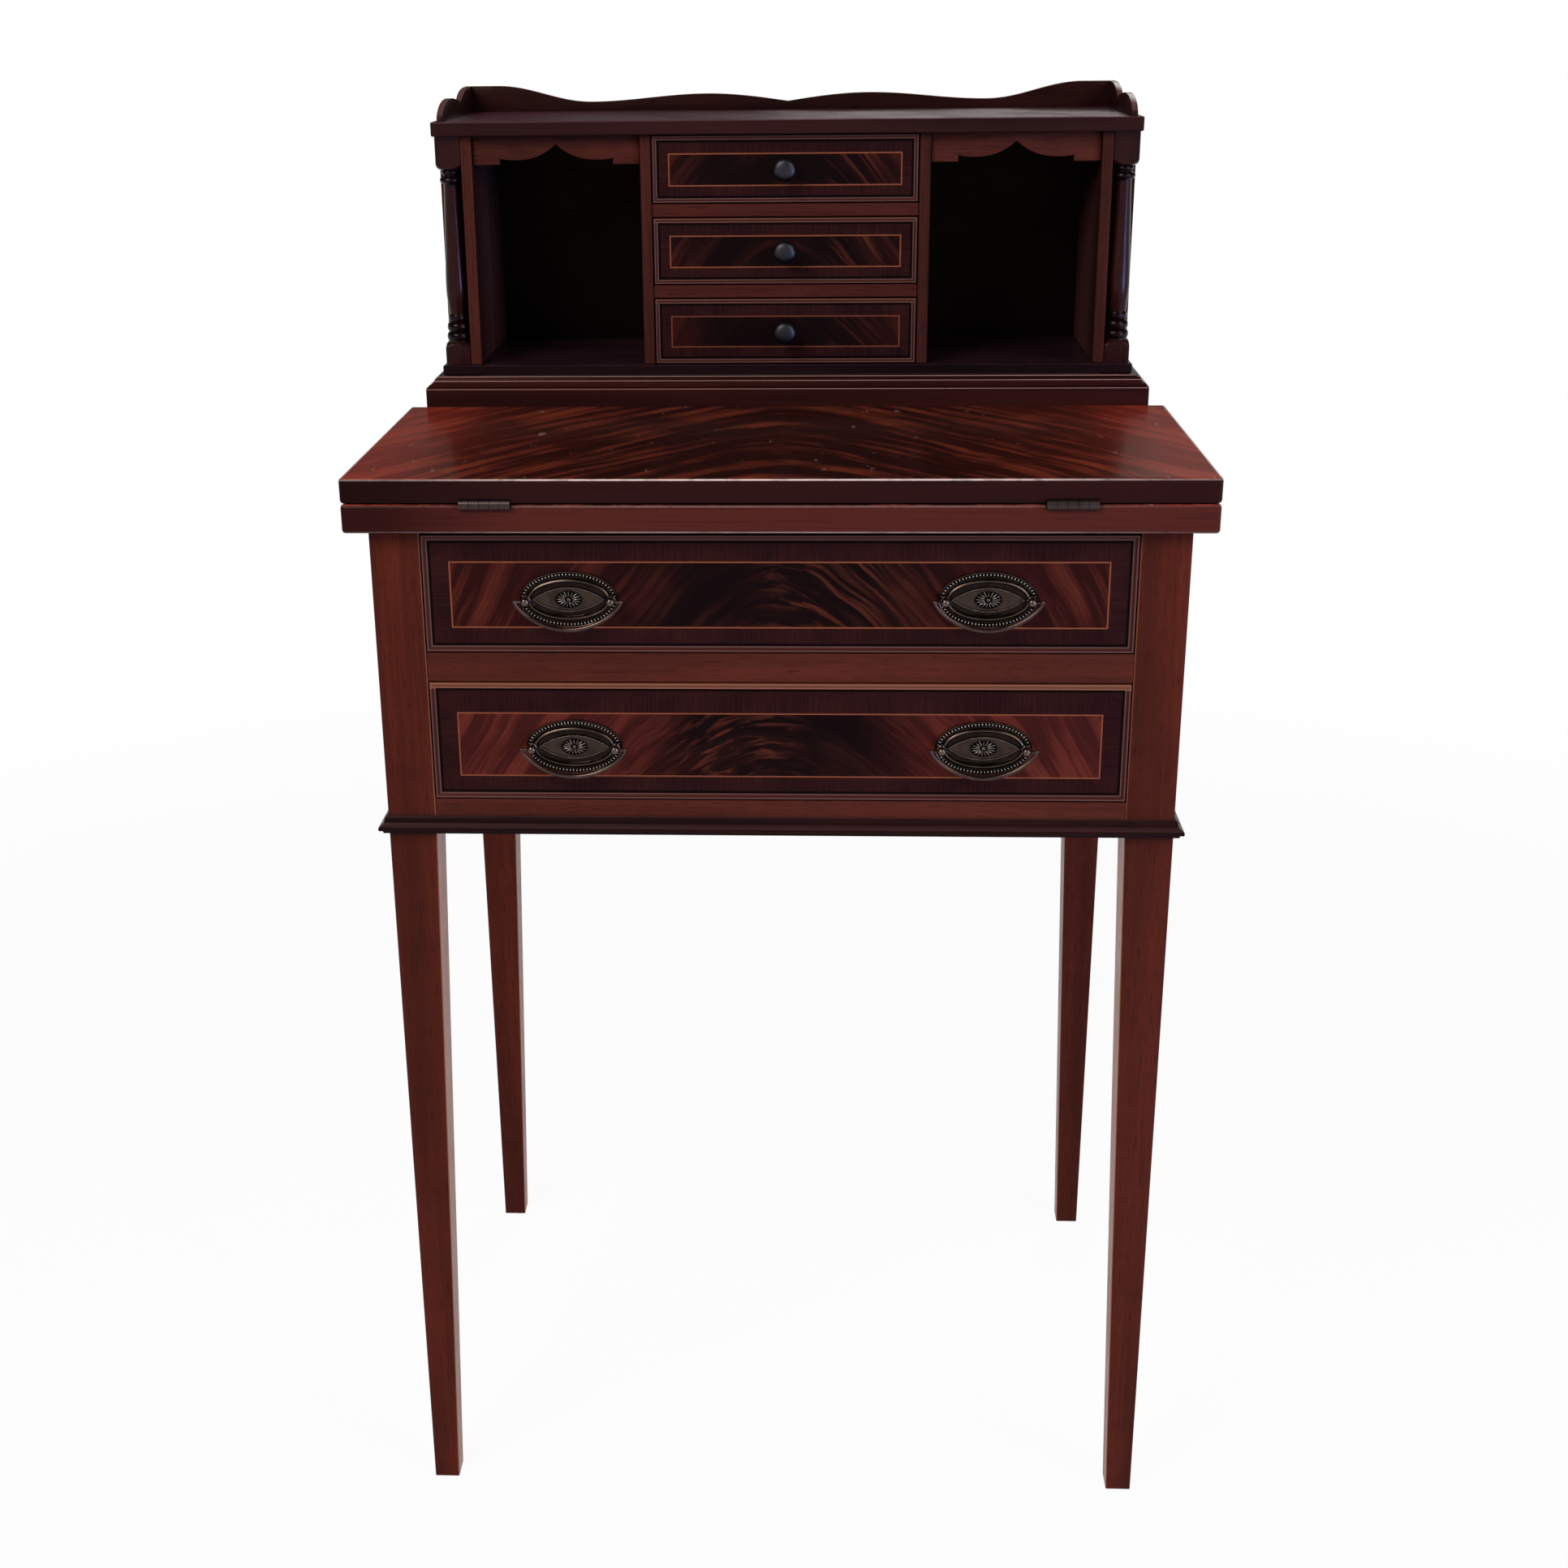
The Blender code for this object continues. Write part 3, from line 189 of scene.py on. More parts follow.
def turn(bm, outline, steps):
    """Turns a half outline, given as radius and height, about the upright axis. Returns the
    new vertices."""
    kept = set(bm.verts)
    verts = [bm.verts.new((radius, 0.0, height)) for radius, height in outline]
    edges = [bm.edges.new(pair) for pair in zip(verts, verts[1:])]
    bmesh.ops.spin(
        bm, geom=verts + edges, cent=(0.0, 0.0, 0.0), axis=(0.0, 0.0, 1.0),
        angle=2 * math.pi, steps=steps, use_merge=True,
    )
    fresh = [vert for vert in bm.verts if vert not in kept]
    bmesh.ops.remove_doubles(bm, verts=fresh, dist=same_place)
    fresh = [vert for vert in bm.verts if vert not in kept]
    faces = {face for vert in fresh for face in vert.link_faces}
    bmesh.ops.recalc_face_normals(bm, faces=list(faces))
    return fresh


def make_object(name, bm, finish):
    """An object with smooth faces, made from a finished bmesh."""
    mesh = bpy.data.meshes.new(name)
    bm.to_mesh(mesh)
    bm.free()
    mesh.materials.append(finish)
    mesh.shade_smooth()
    mesh.set_sharp_from_angle(angle=smooth_corner)
    return put_in_scene(name, mesh)


def lay_floor():
    """A round floor whose rim bends up into the backdrop. It shows white to the eye and to
    gloss, a little less so near the desk, where it keeps the desk's shadow."""
    finish = Finish("pale_floor")
    matt = finish.node(
        "ShaderNodeBsdfDiffuse", sockets={"Color": (floor_white, floor_white, floor_white, 1.0)},
    )
    glow = finish.node("ShaderNodeEmission", sockets={"Color": room_white, "Strength": 1.0})
    own = finish.node("ShaderNodeTexCoord", output="Object")
    away = finish.node("ShaderNodeVectorMath", {"operation": "LENGTH"}, {0: own}, "Value")
    reach = finish.between(away, near_reach, far_reach)
    glow_share = reach * (1 - near_glow_share) + near_glow_share
    share = finish.seen_directly() * glow_share
    surface = finish.node("ShaderNodeMixShader", sockets={0: share, 1: matt, 2: glow})
    finish.node("ShaderNodeOutputMaterial", sockets={"Surface": surface})
    outline = [(0.0, 0.0), (floor_radius, 0.0)]
    for step in range(1, bend_steps + 1):
        angle = math.pi / 2 * step / bend_steps
        outline.append((
            floor_radius + backdrop_bend * math.sin(angle), backdrop_bend * (1 - math.cos(angle)),
        ))
    outline.append((floor_radius + backdrop_bend, backdrop_height))
    bm = bmesh.new()
    turn(bm, outline, backdrop_steps)
    make_object("floor", bm, finish.material)


def place_camera():
    data = bpy.data.cameras.new("camera")
    data.sensor_width = sensor_width
    data.lens = camera_focal_pixels / picture_pixels * sensor_width
    data.shift_x = (picture_pixels / 2 - camera_centre_pixel) / picture_pixels
    camera = put_in_scene("camera", data)
    tilt = (
        Matrix.Rotation(camera_yaw, 4, "Z")
        @ Matrix.Rotation(math.pi / 2 - camera_pitch, 4, "X")
        @ Matrix.Rotation(camera_roll, 4, "Z")
    )
    camera.matrix_world = Matrix.Translation(camera_place) @ tilt
    bpy.context.scene.camera = camera


light_the_room()
lay_floor()
place_camera()


# Legs
# Four square posts of solid mahogany that taper below the carcase on their two inner faces.
# The upper part of each is the corner post that the rails and sides meet.

leg_pore = (30, 10, 9)
leg_tones = ((86, 34, 23), (58, 23, 17), leg_pore)
# Painted light: the legs' inner side faces are paler, as if lit from the side.
leg_side_lit = (150, 88, 62)
inward_limit = -0.1
# Paler colour of faces that look up: partly wear, partly a painted highlight.
top_lit_and_worn_red = (128, 88, 82)
wood_specular = 0.06
wood_specular_tint = (0.95, 0.55, 0.45, 1.0)
pore_depth = 0.00006


def shade(red, green, blue):
    """A colour given from 0 to 255, as a screen shows it."""
    linear = []
    for level in (red, green, blue):
        share = level / 255
        linear.append(share / 12.92 if share <= 0.04045 else ((share + 0.055) / 1.055) ** 2.4)
    return (*linear, 1.0)


class Wood(Finish):
    """A polished wooden surface, made from its place on the piece."""

    def __init__(self, name, centre=(0.0, 0.0, 0.0)):
        super().__init__(name)
        own = self.node("ShaderNodeTexCoord", output="Object")
        shift = tuple(-level for level in centre)
        self.place = self.node(
            "ShaderNodeMapping", sockets={"Vector": own, "Location": shift},
        )

    def axes(self):
        parts = self.node("ShaderNodeSeparateXYZ", sockets={"Vector": self.place})
        return parts, parts.of("Y"), parts.of("Z")

    def cloud(self, *place, scale=1.0, detail=2.0, twist=0.0):
        """Soft noise from about 0.2 to 0.8. The place is one wire, or its three parts."""
        if len(place) > 1:
            place = [self.node("ShaderNodeCombineXYZ", sockets=dict(enumerate(place)))]
        sockets = {"Vector": place[0], "Scale": scale, "Detail": detail, "Distortion": twist}
        return self.node("ShaderNodeTexNoise", sockets=sockets)

    def grain(self, along, fine, long, detail=2.0):
        """Soft noise that is stretched along the wood's fibres."""
        scale = [fine, fine, fine]
        scale[along] = long
        fibres = self.node("ShaderNodeMapping", sockets={"Vector": self.place, "Scale": scale})
        return self.cloud(fibres, detail=detail)

    def blend(self, amount, under, over):
        """The colour under, with this amount of the colour over it. Each of them is a wire
        or three levels from 0 to 255."""
        pair = [tone if isinstance(tone, Wire) else shade(*tone) for tone in (under, over)]
        sockets = {0: amount, 6: pair[0], 7: pair[1]}
        return self.node("ShaderNodeMix", {"data_type": "RGBA"}, sockets, 2)

    def polish(self, colour, roughness, height, depth=pore_depth, metallic=0.0,
               specular=wood_specular, tint=wood_specular_tint):
        """The finished surface: colour, roughness, and a height that is felt as a bump."""
        normal = self.node("ShaderNodeBump", sockets={"Height": height, "Distance": depth})
        sockets = {
            "Base Color": colour, "Roughness": roughness, "Normal": normal,
            "Metallic": metallic, "Specular IOR Level": specular, "Specular Tint": tint,
        }
        shader = self.node("ShaderNodeBsdfPrincipled", sockets=sockets)
        self.node("ShaderNodeOutputMaterial", sockets={"Surface": shader})
        return self.material


def give_finish(material, *names):
    """Lays a finish on nodes that keep the mesh of their solid."""
    for name in names:
        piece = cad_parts[name]
        piece.data.materials.clear()
        piece.data.materials.append(material)


def solid_mahogany(name, along, tones, *nodes, roughness=0.30, specular=wood_specular,
                   tint=wood_specular_tint, pale_share=0.0, second=None):
    """Plain mahogany for the nodes named: slow bands of the first two tones along the grain,
    and short pores of the third. Edges that face upwards can be paler by a given share, wear and
    a painted highlight together. The function second says which faces have another colour, and
    gives it."""
    red, brown, pore = tones
    wood = Wood(name)
    bands = wood.between(wood.grain(along, 45.0, 2.5, 3.0), 0.34, 0.68)
    ripple = wood.grain(along, 12.0, 30.0)
    pores = wood.between(wood.grain(along, 1500.0, 60.0, 1.0), 0.56, 0.72)
    streaks = wood.grain(along, 420.0, 9.0)
    colour = wood.blend(bands * 0.75 + (ripple - 0.5) * 0.5, red, brown)
    colour = wood.blend(wood.between(streaks, 0.45, 0.75) * 0.45, colour, brown)
    colour = wood.blend(pores * 0.55, colour, pore)
    dulled = wood.grain(along, 30.0, 30.0, 3.0)
    sheen = roughness + (dulled - 0.5) * 0.16 + pores * 0.12
    facing = wood.node("ShaderNodeTexCoord", output="Normal")
    turned = wood.node("ShaderNodeSeparateXYZ", sockets={"Vector": facing})
    if pale_share:
        worn = wood.between(turned.of("Z"), 0.4, 0.9) * pale_share
        colour = wood.blend(worn, colour, top_lit_and_worn_red)
    if second:
        there, second_colour = second(wood, turned)
        colour = wood.blend(there * (0.92 - bands * 0.3), colour, second_colour)
    height = (1 - pores) * 0.5 + streaks * 0.3
    finish = wood.polish(colour, sheen, height, specular=specular, tint=tint)
    give_finish(finish, *nodes)
    return finish


def lit_inner_faces(wood, facing):
    """Side faces of the legs that look across to the opposite leg, painted paler as light falling
    on them.
    """
    across = wood.axes()[0]
    return facing * across < inward_limit, leg_side_lit


solid_mahogany(
    "leg_mahogany", 2, leg_tones, "leg_front_left", "leg_front_right", "leg_back_left",
    "leg_back_right", second=lit_inner_faces,
)


# Carcase
# Two sides with guide battens, a back board, two rails and two dust boards, all between the
# posts. The rails are faced with plain red mahogany.

rail_tones = ((84, 37, 27), (62, 27, 21), leg_pore)
side_tones = ((84, 31, 22), (58, 23, 17), leg_pore)
lining_tones = ((150, 104, 66), (104, 66, 40), (64, 38, 24))
lining_roughness = 0.55

solid_mahogany("rail_mahogany", 0, rail_tones, "rail_middle", "rail_bottom")
solid_mahogany("side_mahogany", 1, side_tones, "carcase_side_left", "carcase_side_right")
solid_mahogany(
    "lining_wood", 0, lining_tones, "dust_board_middle", "dust_board_bottom", "carcase_back",
    roughness=lining_roughness,
)


# Base moulding
# A narrow moulding of dark polished mahogany round the foot of the carcase, mitred at the
# two front corners.

moulding_pore = (12, 6, 8)
moulding_tones = ((38, 17, 16), (20, 10, 12), moulding_pore)

solid_mahogany(
    "moulding_mahogany", 0, moulding_tones, "base_moulding", roughness=0.20, pale_share=0.12,
)


# Long drawers
# Two drawers whose fronts carry matched flame veneer inside a line of pale stringing and a
# dark cross-banded border, with a cock bead round the edge. The boxes are dovetailed.

long_line_insets = {"upper": (0.0182, 0.0187, 0.0168), "lower": (0.0182, 0.0218, 0.0164)}
line_width = 0.0010
long_bead = 0.0042
long_bead_rise = 0.0024
bead_margin = 0.0002
flame_black = (14, 6, 8)
upper_red = (60, 21, 18)
lower_red = (90, 35, 29)
flame_light = (122, 58, 40)
flame_specular = 0.04
flame_crown = 0.0009
flame_wander = 0.034
flame_curl = 0.0045
red_raggedness = 0.02
plume_share = 0.26
band_dark = (30, 12, 14)
band_red = (52, 22, 20)
line_colour = (138, 74, 50)
# Painted highlights along the cock bead: place across its width, and strength.
bead_highlight_lines = [(0.18, 0.42), (0.80, 0.38)]
bead_brown = (66, 31, 26)
bead_highlight = (124, 94, 88)
bead_lit = (128, 72, 48)
bead_shadow = (5, 3, 4)
quirk_width = 0.0021
edge_brown = (58, 26, 22)


def flame_streaks(wood, across, up, slope, bow, seed):
    """Streaks of matched flame veneer, which arch over the middle and fall to the ends.
    Zero is the dark ground and one the brightest streak."""
    out = abs(across)
    reach = (across * across + flame_crown) ** 0.5
    wander = wood.cloud(across * 9, up * 9, seed) - 0.5
    curl = wood.cloud(across * 55, up * 55, seed + 2.0) - 0.5
    fall = up + reach * slope + across * across * bow + wander * flame_wander + curl * flame_curl
    broad = wood.cloud(fall * 48, out * 9, seed)
    narrow = wood.cloud(fall * 200, out * 16, seed + 5.0, detail=3.0)
    fine = wood.cloud(fall * 900, out * 60, seed + 9.0)
    patches = wood.cloud(across * 16, up * 16, seed + 13.0)
    lit = wood.between(broad, 0.40, 0.72) * (wood.between(narrow, 0.34, 0.68) * 0.7 + 0.3)
    lit = lit * (wood.between(patches, 0.34, 0.66) * 0.8 + 0.2)
    return lit + (fine - 0.5) * 0.26, fine, fall


def middle_and_half(box):
    """The middle of a box, and half its size."""
    return (box[0] + box[1]) / 2, (box[1] - box[0]) / 2


def veneered_front(node, insets, bead, bead_rise, figure, top_light, seed):
    """Lays veneer on a drawer front. insets are the distances of the stringing from its ends,
    its top and its foot. figure gives the streaks' slope, their bow, how far the dark middle
    reaches, their strength, the place of the plumes, and the red."""
    end_inset, top_inset, foot_inset = insets
    slope, bow, dark_reach, strength, plume_place, flame_red = figure
    middle, half = middle_and_half(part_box(node))
    wood = Wood(node + "_veneer", middle)
    across, depth, up = wood.axes()
    end = half.x - abs(across)
    side = half.z - abs(up)
    edge = end.least(side)
    border = (end - end_inset).least(half.z - top_inset - up).least(half.z - foot_inset + up)
    lit, fine, fall = flame_streaks(wood, across, up, slope, bow, seed)
    warm = wood.between(abs(across) + (fine - 0.5) * red_raggedness, dark_reach * 0.35, dark_reach)
    plume_reach = half.x * plume_share
    plume = 1 - wood.between(abs(across - plume_place), plume_reach * 0.3, plume_reach)
    ripple = wood.cloud(
        fall * 150, across * 32 + up * 24, seed + 40.0, detail=4.0, twist=0.9,
    )
    curls = plume * wood.between(ripple, 0.46, 0.68) * (wood.between(fine, 0.3, 0.6) * 0.5 + 0.5)
    colour = wood.blend(warm * 0.85, flame_black, flame_red)
    colour = wood.blend(lit * (warm * 0.5 + 0.2) * strength, colour, flame_light)
    dark = 1 - wood.between(lit, -0.05, 0.20)
    colour = wood.blend(dark * 0.6, colour, flame_black)
    colour = wood.blend(curls * 0.48 * strength, colour, flame_light)

    along = wood.cloud(across * 30, seed, up * 700)
    upright = wood.cloud(across * 700, seed, up * 30)
    at_end = end < side
    grain = upright * (1 - at_end) + along * at_end
    drift = wood.cloud(across * 26, seed + 4.0, up * 26)
    reddened = wood.between(grain, 0.36, 0.70) * 0.45 + wood.between(drift, 0.36, 0.66) * 0.35
    band = wood.blend(reddened, band_dark, band_red)
    colour = wood.blend(border < 0, colour, band)
    line = abs(border) < line_width / 2
    colour = wood.blend(line * (0.15 + strength * 0.75 + fine * 0.2), colour, line_colour)
    quirk = 1 - wood.between(edge, bead + quirk_width * 0.5, bead + quirk_width)
    colour = wood.blend(quirk * 0.95, colour, bead_shadow)
    bead_wood = wood.blend(along, bead_brown, edge_brown)
    lit_top = (up > half.z - bead) * top_light
    bead_wood = wood.blend(lit_top, bead_wood, bead_lit)
    for line_share, highlight_strength in bead_highlight_lines:
        crest = 1 - wood.between(abs(edge - bead * line_share), bead * 0.05, bead * 0.15)
        bead_wood = wood.blend(crest * highlight_strength, bead_wood, bead_highlight)
    colour = wood.blend(edge < bead - bead_margin, colour, bead_wood)
    behind = depth > bead_rise * 2 - half.y
    colour = wood.blend(behind, colour, edge_brown)

    smear = wood.cloud(across * 14, seed, up * 22, detail=3.0)
    sheen = 0.24 + (smear - 0.5) * 0.16 + (fine - 0.5) * 0.05
    relief = fine * 0.35 - line * 0.3
    give_finish(wood.polish(colour, sheen, relief, specular=flame_specular), node)


solid_mahogany(
    "long_drawer_lining", 1, lining_tones, "long_drawer_box_upper", "long_drawer_box_lower",
    roughness=lining_roughness,
)
for drawer, figure, top_light, seed in (
    ("upper", (0.55, 3.2, 0.16, 0.75, 0.035, upper_red), 0.15, 3.0),
    ("lower", (0.35, 3.2, 0.13, 0.70, -0.03, lower_red), 1.0, 17.0),
):
    veneered_front(
        "long_drawer_front_" + drawer, long_line_insets[drawer], long_bead, long_bead_rise,
        figure, top_light, seed,
    )


# Oval handles
# A stamped brass plate with a ring of small beads, a pointed border and a ribbed rosette. The
# bail hangs from the heads of its two posts.

plate_half_length = 0.0330
plate_half_height = 0.01925
plate_relief = 0.0042
plate_segments = 120
# Each ring's last figure marks it: above zero dark with soil, below zero bright, as worn brass and
# a painted highlight.
plate_rings = [
    (1.000, 1.000, 0.06, 0.0, 0.60), (0.996, 0.994, 0.26, 0.0, 0.30),
    (0.989, 0.982, 0.38, 0.0, -0.15), (0.977, 0.961, 0.34, 0.0, 0.50),
    (0.971, 0.951, 0.12, 0.0, 1.20), (0.909, 0.844, 0.12, 0.0, 1.20),
    (0.903, 0.834, 0.28, 0.0, 0.75), (0.891, 0.813, 0.30, 0.0, 0.55),
    (0.882, 0.797, 0.18, 0.0, 0.95), (0.858, 0.756, 0.18, 0.0, 0.95),
    (0.848, 0.740, 0.36, 0.0, 0.80), (0.830, 0.709, 0.52, 0.0, 0.40),
    (0.812, 0.678, 0.57, 0.0, -0.10), (0.794, 0.647, 0.52, 0.0, 0.45),
    (0.779, 0.621, 0.30, 0.0, 0.85), (0.761, 0.590, 0.18, 0.0, 1.00),
    (0.748, 0.510, 0.16, 0.5, 1.00), (0.736, 0.455, 0.18, 0.9, 1.00),
    (0.728, 0.437, 0.38, 0.9, 0.75), (0.716, 0.418, 0.46, 0.9, -0.10),
    (0.700, 0.398, 0.44, 0.9, 0.30), (0.688, 0.385, 0.34, 0.9, 0.70),
    (0.640, 0.345, 0.34, 0.9, 0.60), (0.300, 0.320, 0.35, 0.3, 0.68),
    (0.262, 0.314, 0.35, 0.0, 1.20), (0.050, 0.060, 0.37, 0.0, 1.20),
]
# Beads, ribs and balls with marks below zero are bright: worn brass, and a painted highlight.
bead_ring = (0.0309, 0.0172, 0.0, 66, 0.00078, 0.32, -0.38)
dotted_edge = (0.0236, 0.0081, 0.9, 92, 0.00045, 0.48, -0.15)
bead_stretch = Vector((1.25, 0.85, 1.0))
bead_facets = (8, 5)
walk_steps = 2000
rib_worn_highlight = -0.36
ball_worn_highlight = -0.04
rosette_half_length = 0.0086
rosette_half_height = 0.0060
rosette_petals = 17
petal_offset = 0.25
rosette_level = 0.36
rib_middle_share = 0.63
rib_half_share = 0.37
rib_width_share = 0.060
rib_height = 0.0012
rib_facets = (10, 8)
boss_radius = 0.0017
boss_facets = (20, 12)
post_offset = 0.0286
ball_radius = 0.0031
post_steps = 24
post_outline = [
    (0.0, 0.0113), (0.0010, 0.0112), (0.0020, 0.0107), (0.0028, 0.0097), (0.0031, 0.0084),
    (0.0029, 0.0071), (0.0023, 0.0062), (0.0019, 0.0057), (0.0018, 0.0050), (0.0019, 0.0042),
    (0.0024, 0.0036), (0.0031, 0.0031), (0.0034, 0.0024), (0.0034, 0.0010), (0.0, 0.0010),
]
# Bright worn brass, which also serves as a painted highlight.
bare_brass_highlight = (200, 184, 172)
brass_black = (8, 6, 7)
brass_tones = ((100, 84, 74), (64, 50, 44), brass_black)
grime_share = 0.85
crevice_reach = 0.0018
speck_depth = 0.00003
handles = ("upper_left", "upper_right", "lower_left", "lower_right")


def add_piece(name, bm, place, finish, body, node):
    """Makes the piece that stands for a node, moves it to its place and lets it ride on a
    body of the desk."""
    bmesh.ops.transform(bm, matrix=place, verts=list(bm.verts))
    piece = make_object(name, bm, finish)
    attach(piece, body)
    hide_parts(node)


def on_the_front(low, high):
    """The place of a fitting that faces forwards, with its foot at the back of a box."""
    foot = ((low.x + high.x) / 2, high.y, (low.z + high.z) / 2)
    return Matrix.Translation(foot) @ Matrix.Rotation(math.pi / 2, 4, "X")


def start_ring(bm, sides):
    """A disc of radius one to grow a shape from. Returns its vertices and edges."""
    verts = bmesh.ops.create_circle(bm, cap_ends=True, segments=sides, radius=1.0)["verts"]
    fresh = set(verts)
    return verts, [edge for edge in bm.edges if edge.verts[0] in fresh]


def grow_ring(bm, edges):
    """Extrudes a ring of edges. Returns the vertices and the edges of the new ring."""
    made = bmesh.ops.extrude_edge_only(bm, edges=edges)["geom"]
    verts = [part for part in made if isinstance(part, bmesh.types.BMVert)]
    fresh = set(verts)
    edges = [
        part for part in made
        if isinstance(part, bmesh.types.BMEdge) and set(part.verts) <= fresh
    ]
    return verts, edges


def close_ring(bm, edges):
    """Closes a shape at its last ring and turns its faces outwards."""
    bmesh.ops.holes_fill(bm, edges=edges, sides=0)
    bmesh.ops.recalc_face_normals(bm, faces=list(bm.faces))


def add_ball(bm, facets, place, worn_highlight=0.0):
    """A ball of radius one with these facets round and up it, stretched, turned and moved by
    its place. Below zero, its mark makes it bright: worn brass, and a painted highlight."""
    ball = bmesh.ops.create_uvsphere(
        bm, u_segments=facets[0], v_segments=facets[1], radius=1.0, matrix=place,
    )["verts"]
    if worn_highlight:
        soil_and_highlight = bm.verts.layers.float["soil_and_highlight"]
        for vert in ball:
            vert[soil_and_highlight] = worn_highlight


def oval_spot(angle, half_length, half_height, pointed):
    """A place on an oval whose two ends are drawn out to points as far as pointed says."""
    rise = math.sin(angle)
    drawn = math.copysign(rise ** 2, rise)
    return half_length * math.cos(angle), half_height * (rise + (drawn - rise) * pointed)


def plate_bmesh():
    """The stamped plate, lying flat with its face up and its middle at the origin."""
    bm = bmesh.new()
    bearing = bm.verts.layers.float.new("bearing")
    soil_and_highlight = bm.verts.layers.float.new("soil_and_highlight")
    ring, edges = start_ring(bm, plate_segments)
    for vert in ring:
        vert[bearing] = math.atan2(vert.co.y, vert.co.x)
        vert.co.xy = oval_spot(vert[bearing], plate_half_length, plate_half_height, 0.0)
    for across, up, relief, pointed, ring_soil_and_highlight in plate_rings:
        verts, edges = grow_ring(bm, edges)
        for vert in verts:
            vert.co.xy = oval_spot(
                vert[bearing], across * plate_half_length, up * plate_half_height, pointed,
            )
            vert.co.z = relief * plate_relief
            vert[soil_and_highlight] = ring_soil_and_highlight
    close_ring(bm, edges)
    add_bead_ring(bm, *bead_ring)
    add_bead_ring(bm, *dotted_edge)
    add_rosette(bm)
    for side in (-1, 1):
        post = turn(bm, post_outline, post_steps)
        for vert in post:
            vert[soil_and_highlight] = ball_worn_highlight
        bmesh.ops.translate(bm, vec=(side * post_offset, 0.0, 0.0), verts=post)
    return bm


def add_bead_ring(bm, half_length, half_height, pointed, count, radius, relief, worn_highlight):
    """Small round beads at even steps along an oval, made bright by their mark: worn brass, and a
    painted highlight.
    """
    angles = [2 * math.pi * step / walk_steps for step in range(walk_steps)]
    walk = []
    run = []
    for angle in angles:
        spot = oval_spot(angle, half_length, half_height, pointed)
        run.append(run[-1] + math.dist(spot, walk[-1]) if walk else 0.0)
        walk.append(spot)
    pitch = (run[-1] + math.dist(walk[-1], walk[0])) / count
    beads = 0
    for angle, spot, distance in zip(angles, walk, run):
        if distance >= beads * pitch:
            middle = Vector((*spot, plate_relief * relief))
            outward = Matrix.Rotation(angle, 3, "Z")
            place = Matrix.LocRotScale(middle, outward, bead_stretch * radius)
            add_ball(bm, bead_facets, place, worn_highlight)
            beads += 1


def add_rosette(bm):
    """Rounded ribs that fan from a small boss."""
    base = plate_relief * rosette_level
    for petal in range(rosette_petals):
        angle = 2 * math.pi * (petal + petal_offset) / rosette_petals
        tip = Vector((*oval_spot(angle, rosette_half_length, rosette_half_height, 0.0), 0.0))
        reach = tip.length
        middle = tip * rib_middle_share + Vector((0.0, 0.0, base))
        size = Vector((reach * rib_half_share, reach * rib_width_share, rib_height))
        heading = Matrix.Rotation(math.atan2(tip.y, tip.x), 3, "Z")
        add_ball(bm, rib_facets, Matrix.LocRotScale(middle, heading, size), rib_worn_highlight)
    middle = Matrix.Translation((0.0, 0.0, base))
    add_ball(bm, boss_facets, middle @ Matrix.Scale(boss_radius, 4))


def old_brass(name, tones, crevice, mottle, roughness):
    """Metal that has gone brown, black where soil stays and lighter where hands rub it. A
    piece's own marks add to the soil, and those below zero make it bright: worn brass, and a
    painted highlight."""
    light, brown, black = tones
    metal = Wood(name)
    patches = metal.cloud(metal.place, scale=140.0)
    specks = metal.cloud(metal.place, scale=1400.0)
    pale_share = (metal.between(patches, 0.30, 0.74) - 0.5) * mottle + 0.5
    colour = metal.blend(pale_share, brown, light)
    hollow = metal.node(
        "ShaderNodeAmbientOcclusion", {"samples": 8}, {"Distance": crevice_reach}, "AO",
    )
    hidden = (1 - metal.between(hollow, 0.42, 0.96)) * crevice
    marked = metal.node("ShaderNodeAttribute", {"attribute_name": "soil_and_highlight"}, output="Fac")
    tarnish = hidden + marked * grime_share + metal.between(specks, 0.60, 0.80) * mottle * 0.3
    colour = metal.blend(tarnish, colour, black)
    colour = metal.blend(0 - marked, colour, bare_brass_highlight)
    sheen = roughness + (patches - 0.5) * mottle * 0.2 + hidden * 0.3
    return metal.polish(colour, sheen, specks, depth=speck_depth, metallic=1.0, specular=0.5,
                        tint=room_white)


handle_brass = old_brass("handle_brass", brass_tones, crevice=0.15, mottle=0.5, roughness=0.24)
plain_plate = plate_bmesh()
for handle in handles:
    node = "handle_plate_" + handle
    drawer = handle.split("_")[0] + "_drawer"
    add_piece(
        "oval_plate_" + handle, plain_plate.copy(), on_the_front(*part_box(node)), handle_brass,
        drawer, node,
    )
plain_plate.free()


# Bails
# A bent brass rod that swells in the middle, turned in at its ends to the heads of the two
# posts, with a small knop at each corner.

bail_half_width = 0.03576
bail_drop = 0.0193
bail_thin = 0.0011
bail_thick = 0.0016
bail_power = 1.5
bail_steps = 48
bail_sides = 14
knop_radius = 0.0014
knop_facets = (14, 10)
bail_tones = ((88, 72, 65), (60, 47, 44), brass_black)


def swept_rod(bm, path, radii, sides):
    """A round rod along a path that lies in the upright plane, closed at both ends."""
    ring, edges = start_ring(bm, sides)
    frames = []
    for index, (spot, radius) in enumerate(zip(path, radii)):
        before = path[max(index - 1, 0)]
        after = path[min(index + 1, len(path) - 1)]
        heading = (after - before).normalized()
        turn_to = heading.to_track_quat("Z", "Y").to_matrix().to_4x4()
        frames.append(Matrix.Translation(spot) @ turn_to @ Matrix.Scale(radius, 4))
    bmesh.ops.transform(bm, matrix=frames[0], verts=ring)
    for before, after in zip(frames, frames[1:]):
        ring, edges = grow_ring(bm, edges)
        bmesh.ops.transform(bm, matrix=after @ before.inverted(), verts=ring)
    close_ring(bm, edges)


